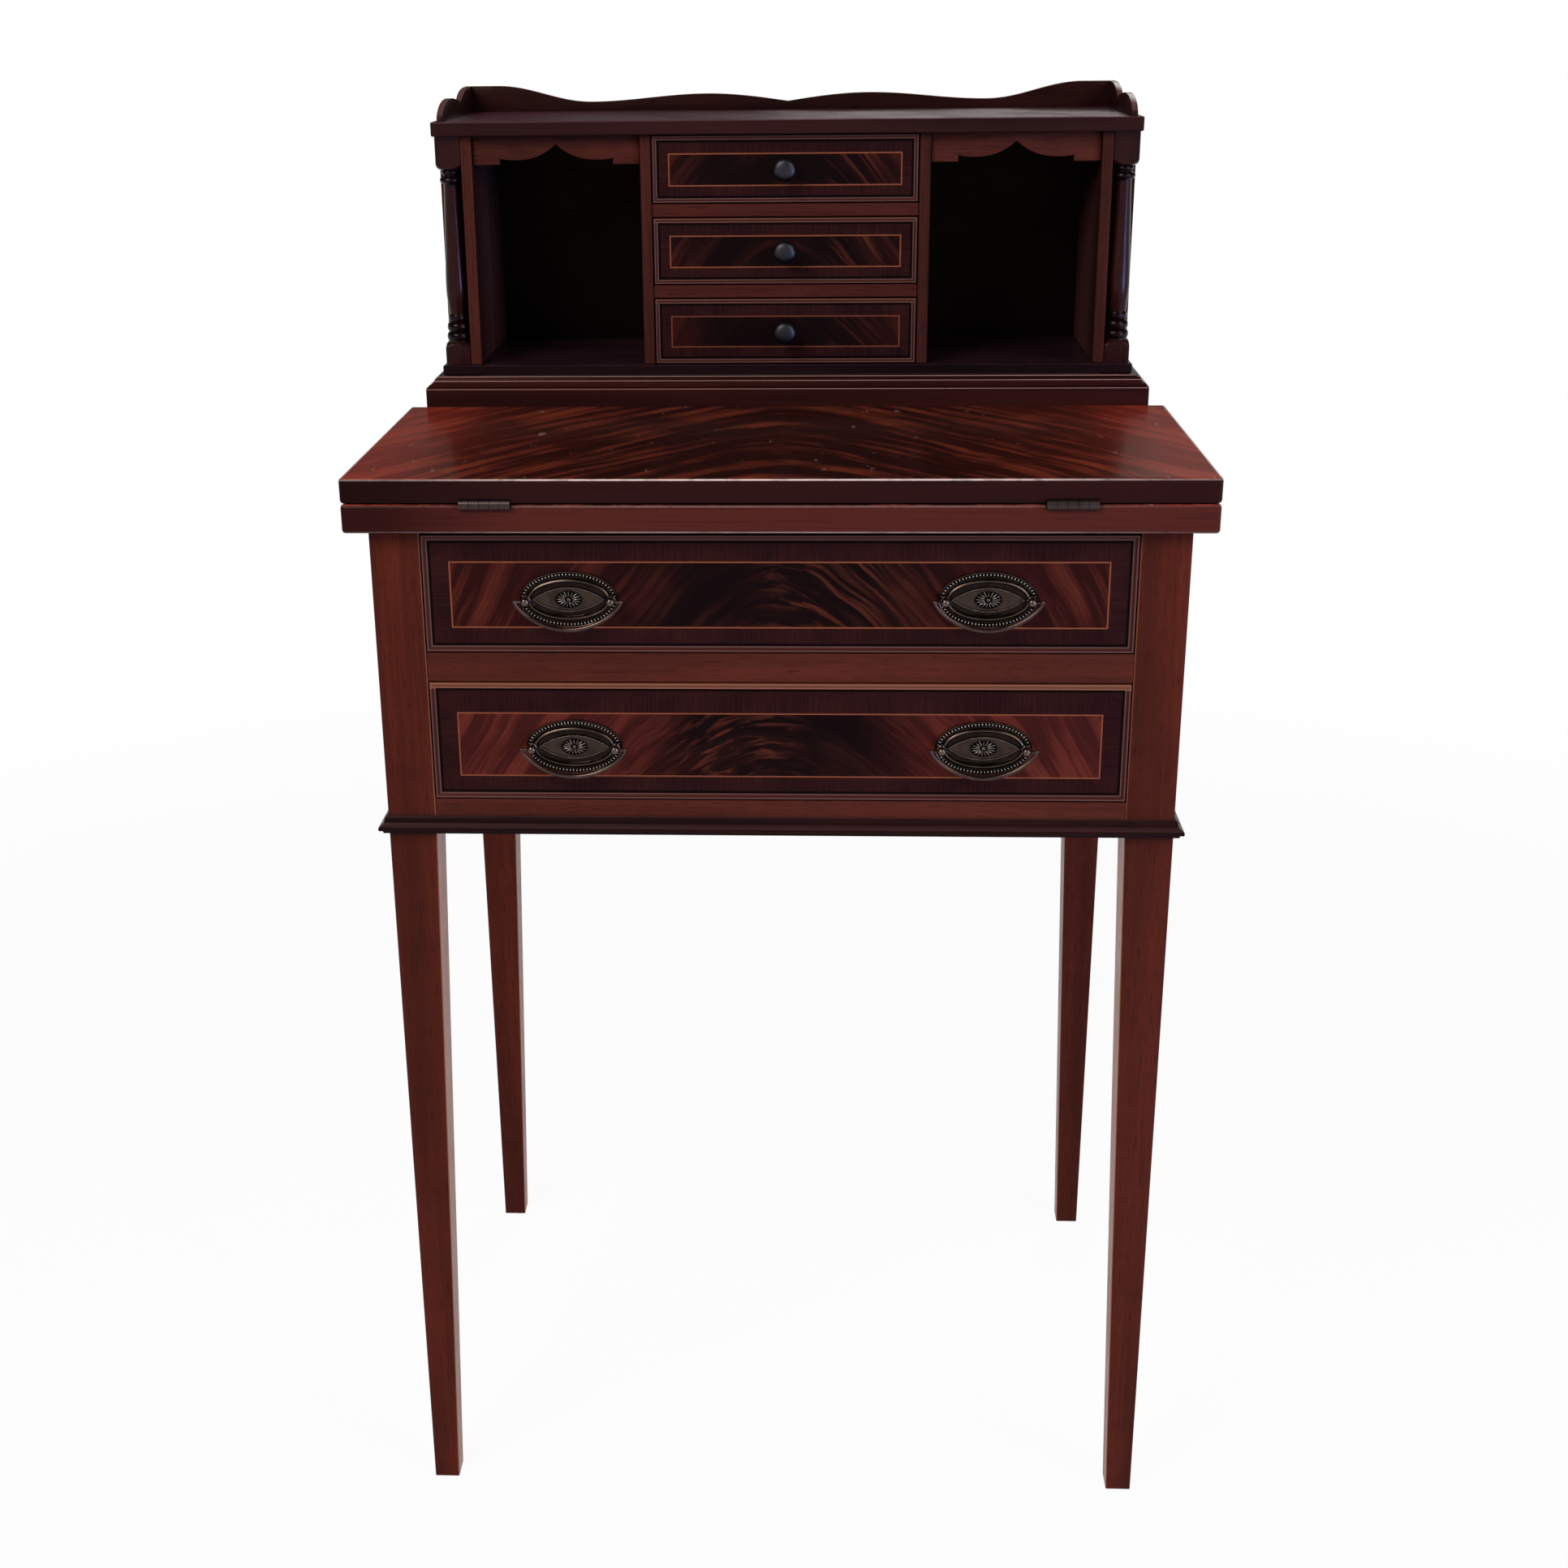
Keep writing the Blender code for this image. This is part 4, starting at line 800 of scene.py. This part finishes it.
def bail_bmesh():
    """A hanging bail in the XZ plane, with its pivot axis through the origin."""
    path = [Vector((-post_offset - ball_radius, 0.0, 0.0))]
    radii = [bail_thin]
    for step in range(bail_steps + 1):
        angle = math.pi * step / bail_steps
        lift = math.sin(angle) ** bail_power
        path.append(Vector((-bail_half_width * math.cos(angle), 0.0, -bail_drop * lift)))
        radii.append(bail_thin + (bail_thick - bail_thin) * lift)
    path.append(Vector((post_offset + ball_radius, 0.0, 0.0)))
    radii.append(bail_thin)
    bm = bmesh.new()
    swept_rod(bm, path, radii, bail_sides)
    for side in (-1, 1):
        corner = Matrix.Translation((side * bail_half_width, 0.0, 0.0))
        add_ball(bm, knop_facets, corner @ Matrix.Scale(knop_radius, 4))
    return bm


bail_brass = old_brass("bail_brass", bail_tones, crevice=0.3, mottle=0.4, roughness=0.28)
for handle in handles:
    node = "bail_" + handle
    pivot = middle_and_half(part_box(node))[0]
    pivot.z = middle_and_half(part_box("handle_plate_" + handle))[0].z
    add_piece(
        "swinging_bail_" + handle, bail_bmesh(), Matrix.Translation(pivot), bail_brass,
        handle + "_bail", node,
    )


# Fixed top and writing leaf
# Two boards of one width, veneered with matched flame mahogany and lipped at the edges. The
# faces that meet when the leaf is shut are lined with leather inside a polished border.

leaf_slope = 1.05
leaf_bow = 0.6
leaf_specular = 0.03
leaf_dark = (24, 11, 12)
leaf_middle = (52, 22, 19)
# Painted reflection: the ends of the board are redder and lighter than its middle.
leaf_reflected_red = (94, 37, 28)
reflected_tip_red = (142, 50, 38)
leaf_light = (146, 64, 42)
leaf_shade = (24, 9, 10)
leaf_edge = (42, 18, 17)
lower_edge = (78, 33, 27)
# Pale worn scratches and arris lines; on the arrises also a painted highlight.
worn_highlight_edge = (196, 172, 162)
arris_width = 0.0011
face_skin = 0.0006
front_skin = 0.0012
reflection_drift = 0.12
reflection_span = (0.06, 0.28)
tip_reflection_span = (0.20, 0.28)
calm_span = (0.17, 0.26)
shaded_span = (-0.27, -0.17)
worn_highlight_span = (0.10, 0.27)


def flat_veneer(node, edge_colour, top_worn_highlight, foot_worn_highlight, seed):
    """Veneers a board. Its flat face shows the figure, redder and lighter towards the ends as a
    painted reflection, its edges are plain, and the arrises of its front edge are paler, partly
    worn and partly a painted highlight."""
    low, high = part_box(node)
    middle = (low + high) / 2
    thickness = high.z - low.z
    wood = Wood(node + "_veneer", (middle.x, middle.y, high.z))
    across, depth, up = wood.axes()
    lit, fine = flame_streaks(wood, across, depth, leaf_slope, leaf_bow, seed)[:2]
    slow = wood.cloud(across * 7, depth * 7, seed + 21.0)
    reflected_share = wood.between(abs(across) + (slow - 0.5) * reflection_drift, *reflection_span)
    colour = wood.blend(reflected_share, leaf_middle, leaf_reflected_red)
    colour = wood.blend(wood.between(abs(across), *tip_reflection_span), colour, reflected_tip_red)
    colour = wood.blend(lit * 0.65, colour, leaf_light)
    dark = 1 - wood.between(lit, 0.0, 0.25)
    away_from_ends = 1 - wood.between(abs(across), *calm_span) * 0.4
    colour = wood.blend(dark * away_from_ends * 0.6, colour, leaf_dark)
    fibres = wood.between(wood.grain(0, 500.0, 12.0), 0.45, 0.80)
    edge_wood = wood.blend(fibres * 0.4, edge_colour, leaf_dark)
    left_end = 1 - wood.between(across, *shaded_span)
    edge_wood = wood.blend(left_end * 0.75, edge_wood, leaf_shade)
    on_face = up > -face_skin
    marks = wood.cloud(across * 90, depth * 35, seed + 31.0, detail=4.0)
    scratched = wood.between(marks, 0.66, 0.74) * on_face
    colour = wood.blend(scratched * 0.2, colour, worn_highlight_edge)
    colour = wood.blend(1 - on_face, colour, edge_wood)
    at_front = depth < low.y - middle.y + front_skin
    pale_share = 1.1 - wood.between(abs(across), *worn_highlight_span) * 0.8
    scuffs = wood.cloud(across * 120, seed, up * 300)
    pale_share = pale_share * (wood.between(scuffs, 0.20, 0.60) * 0.5 + 0.5)
    top_line = abs(up + arris_width) < arris_width / 2
    foot_line = abs(up + thickness - arris_width * 0.9) < arris_width / 2
    pale = at_front * pale_share * (top_line * top_worn_highlight + foot_line * foot_worn_highlight)
    colour = wood.blend(pale, colour, worn_highlight_edge)
    smear = wood.cloud(across * 9, depth * 9, seed, detail=3.0)
    sheen = 0.16 + (smear - 0.5) * 0.10 + scratched * 0.2
    relief = fine * 0.3 - scratched * 0.5
    give_finish(wood.polish(colour, sheen, relief, specular=leaf_specular), node)


flat_veneer("writing_leaf", leaf_edge, 1.0, 0.0, 41.0)
flat_veneer("lower_top", lower_edge, 0.15, 0.45, 57.0)


# Leather linings
# Thin hide let into the two meeting faces, with a single gilt line tooled near its edge.

hide_green = (44, 62, 44)
hide_dark = (24, 36, 28)
hide_gilt = (176, 140, 72)
gilt_inset = 0.0095
gilt_width = 0.0016
hide_relief = 0.0003


def tooled_leather(node):
    middle, half = middle_and_half(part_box(node))
    hide = Wood(node + "_hide", middle)
    across, depth = hide.axes()[:2]
    end = half.x - abs(across)
    side = half.y - abs(depth)
    edge = end.least(side)
    pebbles = hide.node(
        "ShaderNodeTexVoronoi", {"feature": "DISTANCE_TO_EDGE"},
        {"Vector": hide.place, "Scale": 900.0},
    )
    worn = hide.cloud(hide.place, scale=18.0, detail=4.0)
    colour = hide.blend(hide.between(worn, 0.35, 0.68), hide_dark, hide_green)
    creased = 1 - hide.between(pebbles, 0.0, 0.12)
    colour = hide.blend(creased * 0.5, colour, hide_dark)
    line = abs(edge - gilt_inset) < gilt_width / 2
    colour = hide.blend(line * (hide.between(worn, 0.25, 0.45) * 0.9), colour, hide_gilt)
    sheen = 0.48 + creased * 0.2 - line * 0.12
    relief = pebbles - line * 0.2
    give_finish(hide.polish(colour, sheen, relief, depth=hide_relief, tint=room_white), node)


tooled_leather("lower_leather")
tooled_leather("leaf_leather")


# Hinges
# Two small butt hinges of dark metal with five knuckles on a pin, let into both boards. Only
# the knuckles show while the leaf is shut.

hinge_tones = ((78, 66, 63), (52, 43, 41), (20, 17, 17))

hinge_metal = old_brass("hinge_metal", hinge_tones, crevice=0.4, mottle=0.3, roughness=0.42)
give_finish(
    hinge_metal, "hinge_fixed_left", "hinge_fixed_right", "hinge_moving_left",
    "hinge_moving_right",
)


# Cabinet
# A low case of thin boards on a plinth with a moulded cap: a floor, two sides, a back, two
# dividers, and two full-depth rails between the small drawers. The shelf closes it above.

plinth_tones = ((50, 21, 19), (30, 12, 13))
# Painted highlights on the cap's fillets and painted shade in its hollows.
plinth_highlight = (168, 128, 116)
plinth_shaded_hollows = [(0.0009, 0.0030), (0.0070, 0.0082)]
plinth_highlight_heights = [0.0005, 0.0034, 0.0088]
plinth_highlight_width = 0.0005
small_rail_tones = ((72, 31, 25), (50, 22, 20), leg_pore)
case_tones = ((72, 33, 26), (44, 21, 18), leg_pore)
case_roughness = 0.26
# Painted shade on the pigeonhole walls near the front, and painted light deep inside.
pigeonhole_shade = (38, 19, 19)
pigeonhole_deep_light = (70, 40, 40)
case_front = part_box("cabinet_side_right")[0].y
painted_light_depth = 0.070
shelf_tones = ((48, 23, 21), (32, 16, 16))
# Painted shade: the face of the back board inside the pigeonholes is near black.
back_shade_tones = ((9, 5, 6), (4, 3, 3), moulding_pore)
back_brown = (62, 36, 27)
outer_skin = 0.001
case_half_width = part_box("cabinet_side_right")[1].x - outer_skin
floor_tones = ((28, 15, 18), (15, 8, 11))
arris_height = 0.0007
# Dust, and a painted reflection on the top of the boards.
dust_and_sheen_colour = (122, 78, 97)


def dusty_board(node, tones, speckle, haze_and_sheen):
    """Makes a dark polished board with fine pale worn and dusty specks on it. Its top and front
    arris take a pale haze as strong as given, partly dust and partly a painted reflection."""
    wood = Wood(node, (0.0, 0.0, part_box(node)[1].z))
    up = wood.axes()[2]
    bands = wood.between(wood.grain(0, 45.0, 2.5, 3.0), 0.34, 0.68)
    fibres = wood.grain(0, 700.0, 14.0)
    colour = wood.blend(bands, *tones)
    specks = wood.cloud(wood.place, scale=1500.0, detail=1.0)
    drift = wood.cloud(wood.place, scale=22.0, detail=3.0)
    on_top = up > -arris_height
    dusty = wood.between(specks, 0.62, 0.74) * wood.between(drift, 0.36, 0.62)
    dusty = dusty * on_top * speckle
    colour = wood.blend(on_top * haze_and_sheen, colour, dust_and_sheen_colour)
    colour = wood.blend(dusty, colour, dust_and_sheen_colour)
    sheen = 0.24 + (drift - 0.5) * 0.14 + dusty * 0.4
    give_finish(wood.polish(colour, sheen, fibres * 0.3 + dusty * 0.5), node)


def moulded_plinth(node):
    """Plinth finish: painted shade in the hollows of the cap, thin painted highlights on its
    fillets, plain below.
    Heights are measured down from the top of the cap."""
    wood = Wood("plinth_mahogany", (0.0, 0.0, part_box(node)[1].z))
    up = wood.axes()[2]
    fibres = wood.grain(0, 500.0, 10.0)
    bands = wood.between(wood.grain(0, 60.0, 3.0, 3.0), 0.34, 0.68)
    colour = wood.blend(bands * 0.7 + (fibres - 0.5) * 0.5, *plinth_tones)
    for top, foot in plinth_shaded_hollows:
        inside = (up > -foot) * (up < -top)
        colour = wood.blend(inside * 0.9, colour, leg_pore)
    for height in plinth_highlight_heights:
        line = abs(up + height) < plinth_highlight_width / 2
        colour = wood.blend(line * (0.4 + fibres * 0.5), colour, plinth_highlight)
    give_finish(wood.polish(colour, 0.20 + fibres * 0.06, fibres * 0.3), node)


def faces_a_pigeonhole(wood, facing):
    """The broad faces of the sides and dividers, without the two that look outwards. Near the
    front they are dark with painted shade, and deep inside they are paler with painted light."""
    across, depth = wood.axes()[:2]
    deep = wood.between(depth, case_front, case_front + painted_light_depth)
    inner = wood.blend(deep, pigeonhole_shade, pigeonhole_deep_light)
    return (abs(facing) > 0.5) * (abs(across) < case_half_width), inner


def faces_the_wall(wood, facing):
    """The rear face of the back board."""
    return facing.of("Y") > 0.5, back_brown


moulded_plinth("cabinet_plinth")
solid_mahogany(
    "case_mahogany", 2, case_tones, "cabinet_side_left", "cabinet_side_right", "divider_left",
    "divider_right", roughness=case_roughness, second=faces_a_pigeonhole,
)
solid_mahogany(
    "case_rail_mahogany", 0, small_rail_tones, "small_rail_lower", "small_rail_upper",
    roughness=case_roughness,
)
solid_mahogany(
    "back_painted_shade", 0, back_shade_tones, "cabinet_back", roughness=0.40, second=faces_the_wall,
)
dusty_board("cabinet_floor", floor_tones, 0.5, 0.04)
dusty_board("cabinet_shelf", shelf_tones, 0.9, 0.22)


# Columns
# Two slim columns turned between square blocks from one length of mahogany, with groups of
# rings at each end of a barrel-shaped shaft. They stand in the front corners of the cabinet.

turning_sink = 0.0012
block_shoulder = 0.0058
block_neck_share = 0.80
shoulder_steps = 8
smooth_steps = 4
column_steps = 48
side_shares = (-0.94, -0.70, -0.45, -0.20, 0.0, 0.20, 0.45, 0.70, 0.94)
base_block_height = 0.0172
cap_block_height = 0.0245
base_rings_height = 0.0208
cap_rings_height = 0.0115
cap_rings = [
    (0.60, 1.00), (0.69, 0.96), (0.725, 0.85), (0.69, 0.74), (0.58, 0.69), (0.60, 0.62),
    (0.78, 0.56), (0.87, 0.44), (0.88, 0.34), (0.80, 0.20), (0.62, 0.15), (0.60, 0.04),
]
shaft_swell = [(0.60, 1.00), (0.66, 0.80), (0.76, 0.50), (0.85, 0.28), (0.84, 0.15), (0.72, 0.02)]
base_rings = [
    (0.70, 0.98), (0.76, 0.94), (0.79, 0.84), (0.76, 0.74), (0.66, 0.69), (0.84, 0.64),
    (0.92, 0.51), (0.84, 0.38), (0.72, 0.34), (0.90, 0.29), (0.97, 0.16), (0.90, 0.03),
]
column_tones = ((42, 14, 11), (18, 7, 7), moulding_pore)
column_black = (8, 4, 5)
column_tint = (0.72, 0.50, 0.56, 1.0)
column_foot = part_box("column_left")[0].z
column_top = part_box("column_left")[1].z


def rounded_outline(points):
    """The points of an outline with a smooth run of new ones through them."""
    smooth = []
    last = len(points) - 1
    for index in range(last):
        before = Vector(points[max(index - 1, 0)])
        start = Vector(points[index])
        end = Vector(points[index + 1])
        after = Vector(points[min(index + 2, last)])
        for step in range(smooth_steps):
            share = step / smooth_steps
            pull = (
                2 * start + (end - before) * share
                + (2 * before - 5 * start + 4 * end - after) * share ** 2
                + (3 * start - before - 3 * end + after) * share ** 3
            )
            smooth.append((max(pull.x / 2, 0.0), pull.y / 2))
    smooth.append(points[-1])
    return smooth


def square_block(bm, half, plain_z, turned_z):
    """A square block between two heights, rounded off on the lathe at its turned end."""
    outline = []
    for quarter in range(4):
        corner = Matrix.Rotation(math.pi / 2 * quarter, 2)
        outline.extend(corner @ Vector((half, share * half)) for share in side_shares)
    ring, edges = start_ring(bm, len(outline))
    for vert, spot in zip(ring, outline):
        vert.co = (*spot, plain_z)
    shoulder = math.copysign(block_shoulder, turned_z - plain_z)
    for step in range(shoulder_steps + 1):
        share = step / shoulder_steps
        reach = half * (block_neck_share + (2 ** 0.5 - block_neck_share) * (1 - share ** 2))
        ring, edges = grow_ring(bm, edges)
        for vert in ring:
            away = vert.co.xy
            away *= half / max(abs(away.x), abs(away.y))
            away *= min(1.0, reach / away.length)
            vert.co = (*away, turned_z - shoulder * (1 - share))
    close_ring(bm, edges)


def in_the_rings(wood, facing):
    """The two groups of turned rings, which are near black."""
    up = wood.axes()[2]
    base_half = base_rings_height / 2
    cap_half = cap_rings_height / 2
    base_middle = column_foot + base_block_height + base_half
    cap_middle = column_top - cap_block_height - cap_half
    rings = (abs(up - base_middle) < base_half) + (abs(up - cap_middle) < cap_half)
    return rings, column_black


column_wood = solid_mahogany(
    "column_mahogany", 2, column_tones, roughness=0.15, specular=0.17, tint=column_tint,
    second=in_the_rings,
)
for side in ("left", "right"):
    low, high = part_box("column_" + side)
    radius = (high.x - low.x) / 2
    base_top = low.z + base_block_height
    cap_foot = high.z - cap_block_height
    rings_top = base_top + base_rings_height
    neck = cap_foot - cap_rings_height
    outline = [(cap_rings[0][0] * radius, cap_foot + turning_sink)]
    for rings, foot, height in (
        (cap_rings, neck, cap_rings_height),
        (shaft_swell, rings_top, neck - rings_top),
        (base_rings, base_top, base_rings_height),
    ):
        outline.extend((share * radius, foot + up * height) for share, up in rings)
    outline.append((base_rings[-1][0] * radius, base_top - turning_sink))
    outline = rounded_outline(outline)
    bm = bmesh.new()
    turn(bm, [(0.0, outline[0][1]), *outline, (0.0, outline[-1][1])], column_steps)
    square_block(bm, radius, low.z, base_top)
    square_block(bm, radius, high.z, cap_foot)
    place = Matrix.Translation(((low.x + high.x) / 2, (low.y + high.y) / 2, 0.0))
    add_piece(
        "turned_column_" + side, bm, place, column_wood, "desk",
        "column_" + side,
    )


# Aprons and gallery
# Thin boards sawn to a scroll: an apron with a bracket curve over each pigeonhole, and the
# gallery that stands in housings round the back and sides of the shelf.

apron_height = 0.0210
apron_steps = 40
gallery_height = 0.0195
gallery_foot = 0.0013
gallery_steps = 28
scroll_arris = 0.0007
apron_tab_share = 0.16
apron_lobe_share = 0.84
apron_lobe_place_share = 0.28
apron_rise = 1.18
apron_rise_power = 2.4
back_stops = (0.00, 0.25, 0.61, 0.90, 1.00)
back_heights = (0.33, 0.64, 0.36, 1.00, 1.00)
side_stops = (0.30, 0.64, 0.94)
side_lobe_share = 0.75
side_dip_share = 0.45
apron_tones = ((86, 39, 30), (56, 26, 22), leg_pore)
gallery_tones = ((42, 19, 18), (24, 11, 13), moulding_pore)
gallery_looks = {"roughness": 0.24, "pale_share": 0.4}


def add_board(name, outline, thickness, place, finish, node):
    """Adds a board sawn to an outline given across and up. It faces the front until its
    place turns it."""
    bm = bmesh.new()
    verts = [bm.verts.new((across, 0.0, up)) for across, up in outline]
    face = bm.faces.new(verts)
    made = bmesh.ops.extrude_face_region(bm, geom=[face])["geom"]
    back = [part for part in made if isinstance(part, bmesh.types.BMVert)]
    bmesh.ops.translate(bm, vec=(0.0, thickness, 0.0), verts=back)
    bmesh.ops.recalc_face_normals(bm, faces=list(bm.faces))
    rims = [edge for edge in bm.edges if abs(edge.verts[0].co.y - edge.verts[1].co.y) < same_place]
    bmesh.ops.bevel(
        bm, geom=rims, offset=scroll_arris, segments=2, profile=0.5, affect="EDGES",
        material=-1, clamp_overlap=True,
    )
    add_piece(name, bm, place, finish, "desk", node)


def eased(start, end, share):
    """A height that leaves the start and meets the end level."""
    return start + (end - start) * (1 - math.cos(math.pi * share)) / 2


def apron_outline(width):
    tab = apron_tab_share * width
    reach = width / 2 - tab
    points = [(0.0, 0.0), (0.0, -apron_height), (tab, -apron_height)]
    for step in range(apron_steps + 1):
        share = step / apron_steps
        rise = apron_rise * abs(share - apron_lobe_place_share) ** apron_rise_power
        points.append((tab + share * reach, (rise - apron_lobe_share) * apron_height))
    return points + [(width - across, up) for across, up in reversed(points[:-1])]


def back_gallery_outline(half_width):
    edge = []
    for span in range(len(back_stops) - 2):
        for step in range(gallery_steps):
            share = step / gallery_steps
            across = back_stops[span] + (back_stops[span + 1] - back_stops[span]) * share
            if span == 0:
                rise = back_heights[1] - back_heights[0]
                up = back_heights[0] + rise * math.sin(share * math.pi / 2)
            else:
                up = eased(back_heights[span], back_heights[span + 1], share)
            edge.append((across * half_width, up * gallery_height))
    edge.append((back_stops[-2] * half_width, gallery_height))
    edge.append((half_width, gallery_height))
    left = [(-across, up) for across, up in reversed(edge[1:])]
    return [(half_width, -gallery_foot), (-half_width, -gallery_foot), *left, *edge]


def side_gallery_outline(length):
    crest, cusp, top = [share * length for share in side_stops]
    lobe = side_lobe_share * gallery_height
    dip = side_dip_share * gallery_height
    points = [(0.0, -gallery_foot), (length, -gallery_foot), (length, gallery_height)]
    for step in range(gallery_steps + 1):
        angle = math.pi / 2 * step / gallery_steps
        across = cusp + (top - cusp) * (1 - math.sin(angle))
        points.append((across, dip + (gallery_height - dip) * math.cos(angle)))
    for step in range(1, gallery_steps + 1):
        share = step / gallery_steps
        across = cusp + (crest - cusp) * share
        points.append((across, lobe - (lobe - dip) * (1 - share) ** 2))
    for step in range(1, gallery_steps):
        angle = math.pi / 2 * step / gallery_steps
        points.append((crest * (1 - math.sin(angle)), lobe * math.cos(angle)))
    return points


apron_wood = solid_mahogany("apron_mahogany", 0, apron_tones, roughness=case_roughness)
gallery_wood = solid_mahogany("gallery_mahogany", 0, gallery_tones, **gallery_looks)
side_gallery_wood = solid_mahogany("side_gallery_mahogany", 1, gallery_tones, **gallery_looks)
for side in ("left", "right"):
    low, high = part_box("apron_" + side)
    add_board(
        "sawn_apron_" + side, apron_outline(high.x - low.x), high.y - low.y,
        Matrix.Translation((low.x, low.y, high.z)), apron_wood, "apron_" + side,
    )
    low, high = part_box("gallery_side_" + side)
    place = Matrix.Translation((high.x, low.y, high.z - gallery_height))
    add_board(
        "scrolled_gallery_" + side, side_gallery_outline(high.y - low.y), high.x - low.x,
        place @ Matrix.Rotation(math.pi / 2, 4, "Z"), side_gallery_wood, "gallery_side_" + side,
    )
low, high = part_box("gallery_back")
add_board(
    "scrolled_gallery_back", back_gallery_outline((high.x - low.x) / 2), high.y - low.y,
    Matrix.Translation((0.0, low.y, high.z - gallery_height)), gallery_wood, "gallery_back",
)


# Small drawers
# Three drawers between the dividers, veneered and strung like the long ones, with thin
# dovetailed boxes and a turned bronze knob in the middle of each.

small_line_insets = (0.0122, 0.0130, 0.0122)
small_bead = 0.0034
small_red = (60, 22, 19)
small_bead_rise = 0.0018
knob_tones = ((60, 57, 64), (44, 42, 48), (14, 14, 16))
knob_steps = 40
knob_outline = [
    (0.00, 1.000), (0.26, 0.996), (0.52, 0.978), (0.74, 0.94), (0.90, 0.87), (0.98, 0.78),
    (1.00, 0.69), (0.96, 0.60), (0.84, 0.53), (0.64, 0.47), (0.45, 0.40), (0.37, 0.28),
    (0.40, 0.17), (0.52, 0.12), (0.60, 0.08), (0.60, 0.01), (0.58, 0.00),
]

solid_mahogany(
    "small_drawer_lining", 1, lining_tones, "small_drawer_box_bottom",
    "small_drawer_box_middle", "small_drawer_box_top", roughness=lining_roughness,
)
knob_bronze = old_brass("knob_bronze", knob_tones, crevice=0.5, mottle=0.3, roughness=0.42)
for drawer, strength, seed in (("bottom", 0.3, 71.0), ("middle", 0.7, 83.0), ("top", 0.7, 97.0)):
    veneered_front(
        "small_drawer_front_" + drawer, small_line_insets, small_bead, small_bead_rise,
        (0.9, 4.0, 0.13, strength, 0.052, small_red), 0.3, seed,
    )
    low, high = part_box("small_knob_" + drawer)
    radius = (high.x - low.x) / 2
    reach = high.y - low.y
    outline = [(share * radius, up * reach) for share, up in knob_outline]
    bm = bmesh.new()
    turn(bm, [*rounded_outline(outline), (0.0, 0.0)], knob_steps)
    add_piece(
        "turned_knob_" + drawer, bm, on_the_front(low, high), knob_bronze,
        drawer + "_small_drawer", "small_knob_" + drawer,
    )
